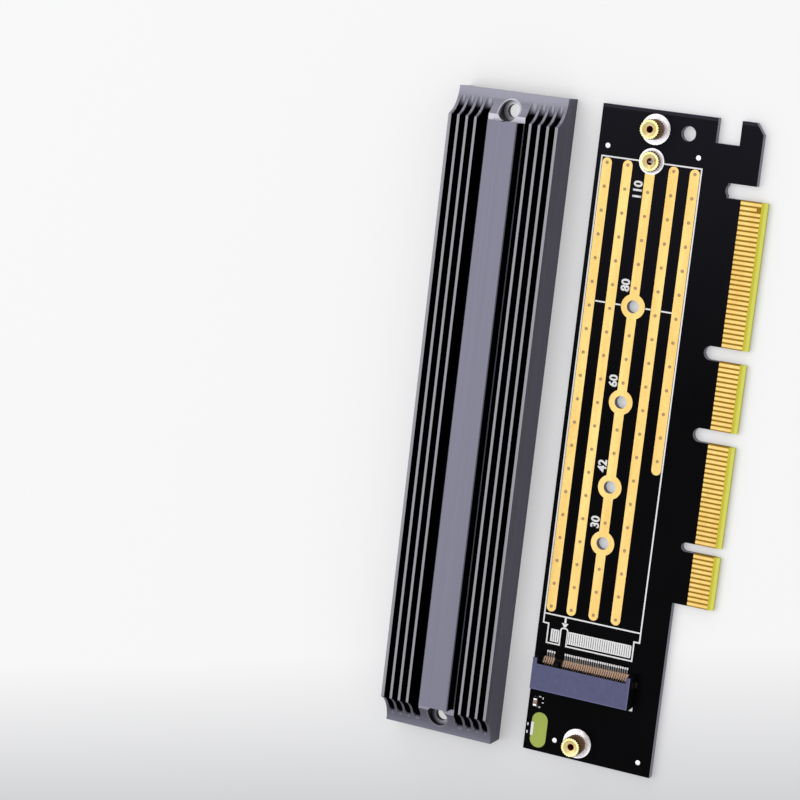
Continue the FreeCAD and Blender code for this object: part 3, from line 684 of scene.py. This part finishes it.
def anodised_aluminium():
    material, tree, shader, position = new_finish("grey anodised aluminium", Metallic=1.0)
    x, y, z, from_end, off_middle, near = places_on_heatsink(tree, position)
    inner = inside_walls(tree, off_middle)
    milled = all_of(tree, inner, below(tree, from_end, RAIL_SHORT_OF_END * MM))
    draw_lines = noise(tree, position, DRAW_LINE, 3, (1, 300, 1))
    mill_marks = noise(tree, position, DRAW_LINE, 2, (60, 1, 1))
    lines = choose(tree, milled, draw_lines, mill_marks)
    drawn, cut = remap(tree, draw_lines), remap(tree, mill_marks)
    rail_grey = blend(tree, drawn, "#727180", "#797887")
    fin_grey = blend(tree, drawn, "#84838a", "#8d8c92")
    drawn_grey = blend(tree, above(tree, off_middle, LEDGE_SIDE * MM), rail_grey, fin_grey)
    # The far cove is painted paler as painted light, the near one darker as painted shade.
    far_cove_lit_grey = blend(tree, cut, "#84838f", "#93929f")
    near_cove_shaded_grey = blend(tree, cut, "#6b6a77", "#7a7987")
    grey = blend(tree, milled, drawn_grey, blend(tree, near, far_cove_lit_grey, near_cove_shaded_grey))
    # Painted shade: the two outer walls get a darker grey.
    grey = blend(tree, inner, "#4e4c5b", grey)
    # Painted highlight on the pocket rims and level faces near the ends, paler at the far end.
    rim = between(tree, from_screw(tree, x, y), POCKET_RADIUS * MM, (POCKET_RADIUS + RIM_HIGHLIGHT_WIDTH) * MM)
    level = any_of(tree, at_height(tree, z, LEDGE_TOP), at_height(tree, z, POCKET_FLOOR))
    bright = blend(tree, near, "#b6b5bf", "#85848f")
    grey = blend(tree, all_of(tree, milled, any_of(tree, rim, level)), grey, bright)
    # Painted shade: the channels, beside the rail and down the pockets are painted near black.
    shade = shade_between_fins(tree, z, from_end, off_middle, near)
    paint(tree, shader, blend(tree, shade, grey, "#030304"), remap(tree, lines, 0.38, 0.52))
    relief(tree, shader, lines, 0.006, 0.35)
    return material


anodised = anodised_aluminium()

# %% [markdown]
# ## Finishes: ink, plated holes, ceramic and the hold-downs
# White epoxy ink is screened on last: matt and slightly chalky. The plated-through holes in the
# strips are filled, and the fill shows as a dull grey-brown dot. The chip capacitor's body is
# fired ceramic, brown-grey and smooth as glazed ware. The socket's hold-downs are tinned steel,
# painted near black as painted shade at the foot of the black housing.

# %% Ink, hole fill, ceramic and steel
def plain_finish(name, colours, roughness, blob, **values):
    """A finish that drifts between two near colours, with a fine grain."""
    material, tree, shader, position = new_finish(name, **values)
    drift = remap(tree, noise(tree, position, blob, 3))
    grain = noise(tree, position, blob / 4, 2)
    paint(tree, shader, blend(tree, drift, *colours), remap(tree, grain, *roughness))
    relief(tree, shader, grain, 0.003, 0.4)
    return material


white_ink = plain_finish("white epoxy ink", ("#e9e9ec", "#fafafa"), (0.5, 0.7), 0.5)
hole_fill = plain_finish("filled plated hole", ("#9a7f5c", "#bf9f74"), (0.4, 0.6), 0.2, Metallic=0.4)
ceramic = plain_finish("fired chip ceramic", ("#8c7566", "#a58d7c"), (0.3, 0.45), 0.4)
# Painted shade: the hold-downs are painted near black at the foot of the housing.
shaded_steel = plain_finish("dull steel", ("#2a2625", "#413b38"), (0.45, 0.6), 0.4, Metallic=1.0)

# %% [markdown]
# ## Dress the CAD nodes
# Nodes whose shape is right stay and only change their material: board, strips, contacts,
# springs, socket, hold-downs and heatsink. The rest are replaced further down by finer pieces.

# %% Materials on the CAD nodes
FINISHES = (                 # the first word that a node's name holds decides
    ("circuit_board", solder_mask), ("heatsink", anodised), ("socket_housing", socket_plastic),
    ("_fingers_", contact_gold), ("heat_strip", gold), ("hold_down", shaded_steel),
    ("springs", contact_spring), ("_solder", solder), ("standoff", top_lit_brass),
    ("chip_capacitor_body", ceramic), ("chip_capacitor", solder))

for name, node in nodes.items():
    finish = next(finish for word, finish in FINISHES if word in name)
    node.data.materials.clear()
    node.data.materials.append(finish)
print("dressed", len(nodes))

# %% [markdown]
# ## Knurled standoffs
# A standoff is a brass nut: a knurled barrel, a chamfer, a flat rim, a countersink, and a
# threaded bore right through its shank. It is made here from one cylinder. First the bottom is
# drawn in for the shank, and every second edge of the barrel for the straight knurling. The top
# face is then extruded and drawn in again and again, for the chamfer and down the hole as rings
# that stand for the thread, whose pitch is 0.4 mm; the mouth is drawn out again, to be round.
# Last, the rims of the shank and the bore are bridged. Faces that look up get the pale brass of
# painted light, the knurled side the brown brass of painted shade, and the thread its own
# red-brown painted shade.

# %% One standoff
KNURL_TEETH = 24
KNURL_DEPTH = 0.2
CHAMFER = 0.08
MOUTH_DIAMETER = 3.1
MOUTH_DEPTH = 0.42
BORE_DIAMETER = 1.45
THREAD_DEPTH = 0.1
THREAD_PITCH = 0.4
SHANK_DIAMETER = 2.9
LOOKS_UP = 0.6  # upward part of the normal of a face that gets the pale brass of painted light
THREAD_REACH = 0.62  # of the bore's diameter: nearer the axis than this is thread
LIT_TOP, SHADED_SIDE, SHADED_THREAD = 0, 1, 2
STANDOFFS = ("cover_standoff_near", "cover_standoff_far", "drive_standoff")


def axis_of(node):
    """The x and y of a round node's axis."""
    low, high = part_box(node)
    return (low.x + high.x) / 2, (low.y + high.y) / 2


def from_axis(point):
    return math.hypot(point.x, point.y)


def knurled_standoff(node):
    """A standoff at the place and size of its CAD node; leaves it active, in object mode."""
    low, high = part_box(node)
    radius = (high.x - low.x) / 2
    upright_cylinder(2 * KNURL_TEETH, radius, BOARD_TOP, high.z - CHAMFER * MM, axis_of(node))
    middle = bpy.context.object.location.z

    # Shank: the bottom drawn in, and down to the far side of the board
    pick_bottom()
    extrude_by((0, 0, 0), SHANK_DIAMETER * MM / 2 / radius)
    extrude_by((0, 0, low.z - BOARD_TOP))
    delete_faces()

    # Knurling: every second upright edge of the barrel
    def in_groove(vertex):
        turn = math.atan2(vertex.co.y, vertex.co.x) / (math.pi / KNURL_TEETH)
        return round(turn) % 2 == 1 and from_axis(vertex.co) > radius - KNURL_DEPTH * MM

    pick("vertices", in_groove)
    groove = 1 - KNURL_DEPTH * MM / radius
    draw_in(groove)

    # Top: chamfer, flat rim, countersink
    pick_top()
    rim = radius - CHAMFER * MM
    mouth = MOUTH_DIAMETER * MM / 2
    bore = BORE_DIAMETER * MM / 2
    extrude_by((0, 0, CHAMFER * MM), rim / radius)
    extrude_by((0, 0, 0), mouth / rim)
    between_rings = mouth * (1 + groove) / 2
    pick("vertices", lambda vertex: vertex.co.z > high.z - middle - SAME_HEIGHT
         and from_axis(vertex.co) < between_rings)
    draw_in(1 / groove)
    pick("polygons", lambda face: face.normal.z > FLAT and len(face.vertices) == 2 * KNURL_TEETH)
    extrude_by((0, 0, -MOUTH_DEPTH * MM), bore / mouth)

    # Thread: a crest and a root in each pitch, down to the end of the shank
    depth = high.z - MOUTH_DEPTH * MM - low.z
    turns = int(depth / (THREAD_PITCH * MM))
    step = depth / (2 * turns)
    root = 1 + THREAD_DEPTH * MM / bore
    for _ in range(turns):
        extrude_by((0, 0, -step), root)
        extrude_by((0, 0, -step), 1 / root)
    delete_faces()
    close_ring(low.z - middle)


for standoff in STANDOFFS:
    knurled_standoff(standoff)
    turned = settle("turned_" + standoff, top_lit_brass, 25, [standoff])
    turned.data.materials.append(side_shaded_brass)
    turned.data.materials.append(bore_shaded_brass)
    axis = Vector((*axis_of(standoff), 0))
    # Painted light on the faces that look up, painted shade on the knurled side and in the bore.
    for polygon in turned.data.polygons:
        in_bore = from_axis(polygon.center - axis) < THREAD_REACH * BORE_DIAMETER * MM
        outside_or_thread = SHADED_THREAD if in_bore else SHADED_SIDE
        polygon.material_index = LIT_TOP if polygon.normal.z > LOOKS_UP else outside_or_thread

# %% [markdown]
# ## Solder fillets
# Molten solder climbs the barrel and thins out to the edge of its pad, in a hollow curve. A low
# disc is drawn in ring by ring along that curve, then straight down inside the barrel. The two
# open rims at the bottom are bridged, so the fillet is a closed ring.

# %% Three fillets
FILLET_STEPS = 8
FILLET_EDGE = 0.05
FILLET_RIM_SIDES = 72


def solder_fillet(node, standoff):
    low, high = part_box(node)
    inner_low, inner_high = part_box(standoff)
    outer = (high.x - low.x) / 2
    inner = (inner_high.x - inner_low.x) / 2 - KNURL_DEPTH * MM
    edge = FILLET_EDGE * MM
    upright_cylinder(FILLET_RIM_SIDES, outer, low.z, low.z + edge, axis_of(node))
    pick_top()
    reach, height = outer, 0.0
    for step in range(1, FILLET_STEPS + 1):
        part = step / FILLET_STEPS
        next_reach = outer + (inner - outer) * part
        next_height = (high.z - low.z - edge) * part ** 2
        extrude_by((0, 0, next_height - height), next_reach / reach)
        reach, height = next_reach, next_height
    extrude_by((0, 0, low.z - high.z))
    delete_faces()
    pick_bottom()
    delete_faces()
    close_ring(-edge / 2)


for standoff in STANDOFFS:
    solder_fillet(standoff + "_solder", standoff)
    settle("fillet_" + standoff, solder, 50, [standoff + "_solder"])

# %% [markdown]
# ## Plated holes in the strips
# Rows of plated-through holes carry heat from the strips to the copper on the other side. Each
# is filled and shows as a small dished dot. One dot is modelled, from a flat 12-sided disc whose
# top is inset and pushed down, and is then copied along the five strips at one pitch. The middle
# strip has none in its ringed pads.

# %% Filled holes along the strips
DOT_DIAMETER, DOT_SIDES = 0.74, 12
DOT_RIM = 0.12
DOT_PROUD = 0.02
DOT_DISH = 0.012
DOT_PITCH = 4.95
DOTS_END = 108.6
PAD_CLEARANCE = 3.2
STRIP_COUNT, RINGED_STRIP = 5, 3

upright_cylinder(DOT_SIDES, DOT_DIAMETER * MM / 2, 0, DOT_PROUD * MM)
pick_top()
inset_by((DOT_RIM, -DOT_DISH))


def dot_places():
    for number in range(1, STRIP_COUNT + 1):
        low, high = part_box("heat_strip_%d" % number)
        y = DOTS_END
        while STOP_Y + y * MM > low.y + DOT_DIAMETER * MM:
            from_ring = min(abs(y - hole) for hole in DRIVE_LENGTHS)
            if number != RINGED_STRIP or from_ring >= PAD_CLEARANCE:
                yield Vector(((low.x + high.x) / 2, STOP_Y + y * MM, COPPER_TOP + DOT_PROUD * MM / 2))
            y -= DOT_PITCH


copies_at(bpy.context.object, dot_places())
settle("filled_holes", hole_fill, 30)

# %% [markdown]
# ## Fiducial dots
# Four round tinned pads tell the assembly machine where the board lies. Surface tension makes
# each one a very low dome: a 24-sided disc whose top is inset twice, a little higher each time.

# %% Fiducial dots
FIDUCIAL_DIAMETER, FIDUCIAL_SIDES = 1.05, 24
FIDUCIAL_THICKNESS = 0.04
FIDUCIAL_STEPS = ((0.12, 0.02), (0.16, 0.01))  # inset and rise of the dome's two steps
FIDUCIALS = ((-9.85, 112.05), (9.85, 112.0), (-5.05, -13.9), (13.9, -14.4))

upright_cylinder(FIDUCIAL_SIDES, FIDUCIAL_DIAMETER * MM / 2, 0, FIDUCIAL_THICKNESS * MM)
pick_top()
inset_by(*FIDUCIAL_STEPS)
copies_at(bpy.context.object, [on_board(x, y, FIDUCIAL_THICKNESS / 2) for x, y in FIDUCIALS])
settle("fiducial_dots", solder, 40)

# %% [markdown]
# ## Solder under the contact tails
# Each tail of the socket is soldered to a pad of its own, a little wider than the tail. In a row
# they make the white line that runs along both sides of the socket. One pad is a flat sheet,
# extruded up and domed by an inset, and is copied to every contact at the plug's steps: even
# contacts in front, odd ones behind, and none where the key is.

# %% Pads of the tails
PAD_WIDTH = 0.36
PAD_WALL, PAD_DOME, PAD_INSET = 0.03, 0.02, 0.08  # its upright side, and the dome on it
FRONT_PADS = (4.62, 5.1)
REAR_PADS = (-3.8, -3.35)
PIN_STEP = 0.25  # from one contact to the next, front and back
PLUG_PINS, FIRST_KEY_PIN, LAST_KEY_PIN = 75, 59, 66


def flat_sheet(x0, x1, y0, y1):
    """A flat rectangle on the board, as the active object."""
    select_only()
    bpy.ops.mesh.primitive_plane_add(size=1, location=on_board((x0 + x1) / 2, (y0 + y1) / 2))
    sheet = bpy.context.object
    sheet.scale = ((x1 - x0) * MM, (y1 - y0) * MM, 1)
    apply_place()
    return sheet


def pad_row(first_pin, near, far):
    """A pad under every second tail, from the first one on."""
    pad = flat_sheet(-PAD_WIDTH / 2, PAD_WIDTH / 2, near, far)
    edit_all()
    extrude_by((0, 0, PAD_WALL * MM))
    inset_by((PAD_INSET, PAD_DOME))
    pins = [pin for pin in range(first_pin, PLUG_PINS + 1, 2) if not FIRST_KEY_PIN <= pin <= LAST_KEY_PIN]
    middle_pin = (PLUG_PINS + 1) / 2
    return copies_at(pad, [Vector(((middle_pin - pin) * PIN_STEP * MM, 0, 0)) for pin in pins])


join_all([pad_row(2, *FRONT_PADS), pad_row(1, *REAR_PADS)])
settle("tail_pads", solder)

# %% [markdown]
# ## White print: the drive's outline
# The print shows where the drive lies: a frame as wide as the drive, and the plug's shape with
# its key notch. Ink has a real thickness, about 0.02 mm, so it is modelled and not painted on.
# The shape is cut from one flat sheet: bisect it, extrude the plug, take the notch out, round
# its top, inset the whole outline by the width of a line, and delete what is inside.

# %% Outline of the drive
INK_WIDTH = 0.3
INK_THICKNESS = 0.02
SAME_PLACE = 0.01  # on the drawing
HALF_DRIVE = 11.0
HALF_PLUG = 9.8
FRAME_END = 110.0
SHOULDER = 10.65
PLUG_END = 6.5
NOTCH_LEFT, NOTCH_RIGHT, NOTCH_TOP = -6.6, -5.35, 10.25
NOTCH_ROUND, NOTCH_SEGMENTS = 0.4, 5


def cut_at(x=None, y=None):
    """Bisect what is selected, along a line of the drawing."""
    if y is None:
        bpy.ops.mesh.bisect(plane_co=on_board(x, 0), plane_no=(1, 0, 0))
    else:
        bpy.ops.mesh.bisect(plane_co=on_board(0, y), plane_no=(0, 1, 0))


def drawn_at(point):
    """Millimetres on the drawing of a point in the model."""
    return (point.x - CENTRE_X) / MM, (point.y - STOP_Y) / MM


outline = flat_sheet(-HALF_DRIVE, HALF_DRIVE, SHOULDER, FRAME_END)
for x in (-HALF_PLUG, HALF_PLUG):
    edit_all()
    cut_at(x=x)
outline_points = outline.data.vertices


def on_plug_shoulder(edge):
    spots = [drawn_at(outline_points[i].co) for i in edge.vertices]
    return all(abs(x) < HALF_PLUG + SAME_PLACE and y < SHOULDER + SAME_PLACE for x, y in spots)


pick("edges", on_plug_shoulder)
extrude_by((0, (PLUG_END - SHOULDER) * MM, 0))
for line in ({"x": NOTCH_LEFT}, {"x": NOTCH_RIGHT}, {"y": NOTCH_TOP}):
    pick("polygons", lambda face: drawn_at(face.center)[1] < SHOULDER)
    cut_at(**line)


def in_notch(face):
    x, y = drawn_at(face.center)
    return NOTCH_LEFT < x < NOTCH_RIGHT and y < NOTCH_TOP


pick("polygons", in_notch)
delete_faces()


def is_notch_top(vertex):
    x, y = drawn_at(vertex.co)
    at_side = min(abs(x - NOTCH_LEFT), abs(x - NOTCH_RIGHT)) < SAME_PLACE
    return abs(y - NOTCH_TOP) < SAME_PLACE and at_side


pick("vertices", is_notch_top)
bpy.ops.mesh.bevel(offset=NOTCH_ROUND * MM, segments=NOTCH_SEGMENTS, affect="VERTICES")
edit_all()
bpy.ops.mesh.select_mode(type="FACE")
bpy.ops.mesh.inset(thickness=INK_WIDTH * MM, depth=0)
delete_faces()
stop_editing()
print("outline", len(outline.data.polygons))

# %% [markdown]
# ## White print: bars, marks and plain numbers
# Short bars at the contact pitch stand for the plug's two rows. Straight lines cross the frame
# at the plug and at the 80 mm hole. An arrow points at the key notch, and a triangle marks the
# socket's first contact. Beside each drive hole a plain number gives the length, in millimetres,
# of the drive that is screwed there. All of it is joined and thickened at once.

# %% Lines, bars and marks
PLUG_LINE = 12.7
STRIP_LINE = DRIVE_LENGTHS[3]
STRIP_GAPS = ((-8.4, -6.1), (-3.9, -2.7), (2.7, 3.9), (6.1, 8.5))
BAR_PITCH, BAR_WIDTH, FIELD_LINE = 0.5, 0.38, 0.2
BAR_FIELDS = ((-8.9, -7.1, 7.1, 9.8), (-5.15, 9.15, 7.2, 9.9))
CHIP_MARKS = ((-9.75, -9.2, -5.4, -5.2), (-8.88, -8.68, -5.75, -5.3), (-8.95, -8.55, -6.6, -6.4),
              (-9.6, -9.2, -7.7, -7.45))
WINDOW_BAR = (-10.75, -10.15, -13.9, -11.0)
WINDOW_DOTS = ((-11.62, -11.35, -12.0, -11.4), (-11.62, -11.35, -13.7, -13.1))
KEY_X = (NOTCH_LEFT + NOTCH_RIGHT) / 2
SHAFT_WIDTH, SHAFT_START = 0.44, 11.35
HEAD_TIP, HEAD_WIDTH, HEAD_LENGTH = 10.4, 1.5, 1.1
MARK_LEFT, MARK_RIGHT, MARK_NEAR, MARK_FAR = 10.35, 11.2, -3.9, -3.0

inside_frame = HALF_DRIVE - INK_WIDTH
bar_fields = []
marks = [(-inside_frame, inside_frame, PLUG_LINE, PLUG_LINE + INK_WIDTH)]
marks += [(left, right, STRIP_LINE - INK_WIDTH / 2, STRIP_LINE + INK_WIDTH / 2) for left, right in STRIP_GAPS]
for left, right, near, far in BAR_FIELDS:
    marks += [(left, right, near, near + FIELD_LINE), (left, right, far - FIELD_LINE, far)]
    bar = flat_sheet(left, left + BAR_WIDTH, near + FIELD_LINE, far - FIELD_LINE)
    steps = range(round((right - left) / BAR_PITCH))
    bar_fields.append(copies_at(bar, [Vector((step * BAR_PITCH * MM, 0, 0)) for step in steps]))
marks += [*CHIP_MARKS, WINDOW_BAR, *WINDOW_DOTS]
marks.append((KEY_X - SHAFT_WIDTH / 2, KEY_X + SHAFT_WIDTH / 2, SHAFT_START, PLUG_LINE))
print_work = [outline, *bar_fields] + [flat_sheet(*corners) for corners in marks]


def arrow_head(tip_x, tip_y, width, length):
    """A triangle whose tip is drawn together from a small sheet's near edge."""
    head = flat_sheet(tip_x - width / 2, tip_x + width / 2, tip_y, tip_y + length)
    edit_all()
    pick("vertices", lambda vertex: drawn_at(vertex.co)[1] < tip_y + SAME_PLACE)
    bpy.ops.mesh.merge(type="CENTER")
    stop_editing()
    return head


def is_far_left(vertex):
    x, y = drawn_at(vertex.co)
    return x < MARK_LEFT + SAME_PLACE and y > MARK_FAR - SAME_PLACE


print_work.append(arrow_head(KEY_X, HEAD_TIP, HEAD_WIDTH, HEAD_LENGTH))
print_work.append(flat_sheet(MARK_LEFT, MARK_RIGHT, MARK_NEAR, MARK_FAR))
edit_all()
pick("vertices", is_far_left)
bpy.ops.transform.translate(value=((MARK_RIGHT - MARK_LEFT) * MM, 0, 0))
edit_all()
bpy.ops.mesh.remove_doubles(threshold=SAME_PLACE * MM)
stop_editing()
print("marks", len(print_work))

# %% Numbers
NUMBER_HEIGHT = 2.0
NUMBER_BASELINE = -1.35
NUMBER_STARTS = {30: 32.9, 42: 44.9, 60: 62.9, 80: 82.9, 110: 101.9}
DIGIT_SHARE = 0.7  # of the type's size that a digit's height takes
STROKE_GAIN = 0.036  # of the type's size, by which strokes are fattened


def printed_number(text, x, y, height):
    """Digits that read upwards along y, as a flat mesh."""
    select_only()
    bpy.ops.object.text_add(location=(0, 0, 0))
    digits = bpy.context.object
    digits.data.body = text
    digits.data.size = height * MM / DIGIT_SHARE
    digits.data.offset = STROKE_GAIN * digits.data.size
    digits.data.resolution_u = 4
    bpy.ops.object.convert(target="MESH")
    digits.scale = Vector((1, 1, 1)) * (height * MM / digits.dimensions.y)
    digits.rotation_euler.z = math.pi / 2
    digits.location = on_board(x, y)
    apply_place()
    return digits


for length, start in NUMBER_STARTS.items():
    print_work.append(printed_number(str(length), NUMBER_BASELINE, start, NUMBER_HEIGHT))

join_all(print_work)
bpy.ops.object.modifier_add(type="SOLIDIFY")
thickening = bpy.context.object.modifiers[-1]
thickening.thickness = INK_THICKNESS * MM
thickening.offset = 1.0
bpy.ops.object.modifier_apply(modifier=thickening.name)
settle("white_print", white_ink)

# %% [markdown]
# ## The chip capacitor
# A block of ceramic with plated ends, held by two beads of solder. The body is a box with
# rounded edges. Each end starts as a box too, out to the rim of its pad: its edges are bevelled,
# and its outer top is drawn in, so the solder slopes as it does on a real board.

# %% Chip body and ends
BODY_EDGE, END_EDGE, EDGE_SEGMENTS = 0.04, 0.07, 3
END_SLOPE = 0.3


def rounded_block(low, high, edge):
    """A box between two corners with all its edges rounded, as the active object."""
    select_only()
    bpy.ops.mesh.primitive_cube_add(size=1, location=(low + high) / 2)
    block = bpy.context.object
    block.scale = high - low
    bpy.ops.object.transform_apply(location=False, rotation=False, scale=True)
    edit_all()
    bpy.ops.mesh.bevel(offset=edge * MM, segments=EDGE_SEGMENTS, affect="EDGES")
    stop_editing()
    return block


chip_low, chip_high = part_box("chip_capacitor_body")
rounded_block(chip_low, chip_high, BODY_EDGE)
settle("chip_ceramic_block", ceramic, 40, ["chip_capacitor_body"])

ends_low, ends_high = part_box("chip_capacitor_ends")
chip_ends = []
for side in (-1, 1):
    low, high = Vector(ends_low), Vector(ends_high)
    if side < 0:
        high.y = chip_low.y
    else:
        low.y = chip_high.y
    chip_ends.append(rounded_block(low, high, END_EDGE))
    edit_all()
    pick("vertices", lambda vertex: vertex.co.z > 0 and side * vertex.co.y > 0)
    bpy.ops.transform.translate(value=(0, -side * END_SLOPE * MM, 0))
    stop_editing()
join_all(chip_ends)
settle("chip_solder_ends", solder, 40, ["chip_capacitor_ends"])

# %% [markdown]
# ## Table, light and camera
# The pair lies on a pale table, whose tone falls off to grey at the front. A broad softbox hangs
# high on the left, so the right-hand sides fall into shade. A second one, low behind the hooked
# end, fills the far coves, and an even sky fills the rest. The level is such that a colour
# renders about as it is written. The camera looks down from the right, as a person would who
# leans over the table.
#
# The eye and the metal's reflections meet the table's own colour, of which a quarter is there
# without any lamp, as on a lit table, so the shadows stay light. Light that bounces off it to
# other surfaces meets a darker one, so the undersides stay dark. Under each of the heatsink's
# screw holes the table glows more brightly, a painted light spot that shows through the hole
# where the table lies in the heatsink's shade.

# %% Table
OWN_TONE = 0.24
GLOW_SPOT_RADIUS, GLOW_SPOT_TONE = 3.2, 0.62
FADE_START, FADE_END = -92, -47  # along y, where the grey starts to fade and is gone
FADE_SLANT = 0.24  # how much of x is taken off y, for a slanting fade
TABLE_SIDE = 4.0
SKY_STRENGTH = 0.64


def pale_table():
    material, tree, shader, position = new_finish("pale table", Roughness=0.8, Specular_IOR_Level=0.1)
    path = add_node(tree, "ShaderNodeLightPath")
    seen = sums(tree, "MAXIMUM", path.outputs["Is Camera Ray"], path.outputs["Is Glossy Ray"])
    x, y, z = axes(tree, position)
    towards_back = sums(tree, "SUBTRACT", y, sums(tree, "MULTIPLY", x, FADE_SLANT))
    pale = blend(tree, ramp(tree, towards_back, FADE_START * MM, FADE_END * MM), "#c9cacc", "#fdfdfe")
    lit_part = blend(tree, OWN_TONE, pale, "#000000")
    tree.links.new(blend(tree, seen, "#b8b8c2", lit_part), shader.inputs["Base Color"])
    # A painted light spot: the table glows more brightly under each screw hole.
    glow_under_screws = below(tree, from_screw(tree, x, y), GLOW_SPOT_RADIUS * MM)
    own_tone = choose(tree, glow_under_screws, OWN_TONE, GLOW_SPOT_TONE)
    tree.links.new(pale, shader.inputs["Emission Color"])
    tree.links.new(sums(tree, "MULTIPLY", own_tone, seen), shader.inputs["Emission Strength"])
    return material


select_only()
bpy.ops.mesh.primitive_plane_add(size=TABLE_SIDE, location=(0, 0, 0))
table_top = bpy.context.object
table_top.name = "table_top"
table_top.data.materials.append(pale_table())
table_top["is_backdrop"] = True

# %% Light
world = bpy.data.worlds.new("even sky")
bpy.context.scene.world = world
world.use_nodes = True
sky = world.node_tree.nodes["Background"]
sky.inputs["Color"].default_value = linear("#ffffff")
sky.inputs["Strength"].default_value = SKY_STRENGTH


def softbox(name, direction, distance, side, radiance):
    """A square lamp that faces the pair; radiance is what a mirror would show, 1 being white."""
    select_only()
    bpy.ops.object.light_add(type="AREA", location=Vector(direction).normalized() * distance)
    lamp = bpy.context.object
    lamp.name = name
    lamp.data.shape = "SQUARE"
    lamp.data.size = side
    lamp.data.energy = radiance * math.pi * side * side
    lamp.rotation_mode = "QUATERNION"
    lamp.rotation_quaternion = (-lamp.location).to_track_quat("-Z", "Y")


softbox("key softbox", (-0.46, 0.02, 0.88), 2.4, 2.4, 1.2)
softbox("far fill", (-0.25, 0.90, 0.35), 2.0, 1.2, 0.9)

# %% Camera
AIM = Vector((-41.88, -0.04, 0)) * MM  # where the line of sight meets the table
DISTANCE = 557.24 * MM
BEARING = math.radians(20.86)  # of the camera, from +x towards +y
ELEVATION = math.radians(64.0)
ROLL = math.radians(-102.35)
LENS = 116.19
SENSOR = 36.0

towards_camera = Vector((
    math.cos(BEARING) * math.cos(ELEVATION),
    math.sin(BEARING) * math.cos(ELEVATION),
    math.sin(ELEVATION)))
select_only()
bpy.ops.object.camera_add(location=AIM + DISTANCE * towards_camera)
camera = bpy.context.object
camera.rotation_mode = "QUATERNION"
level = (-towards_camera).to_track_quat("-Z", "Y")
camera.rotation_quaternion = level @ Quaternion((0, 0, 1), ROLL)
camera.data.sensor_width = SENSOR
camera.data.lens = LENS
camera.data.clip_start = 10 * MM
camera.data.clip_end = 10.0
bpy.context.scene.camera = camera
bpy.context.scene.view_settings.view_transform = "Standard"
print("camera at, mm", [round(v / MM, 1) for v in camera.location])

# %% [markdown]
# ## Sizes, and the end
# The last line finds the box that the dressed model fills, leaving out the table.

# %% Sizes and finish
low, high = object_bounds()
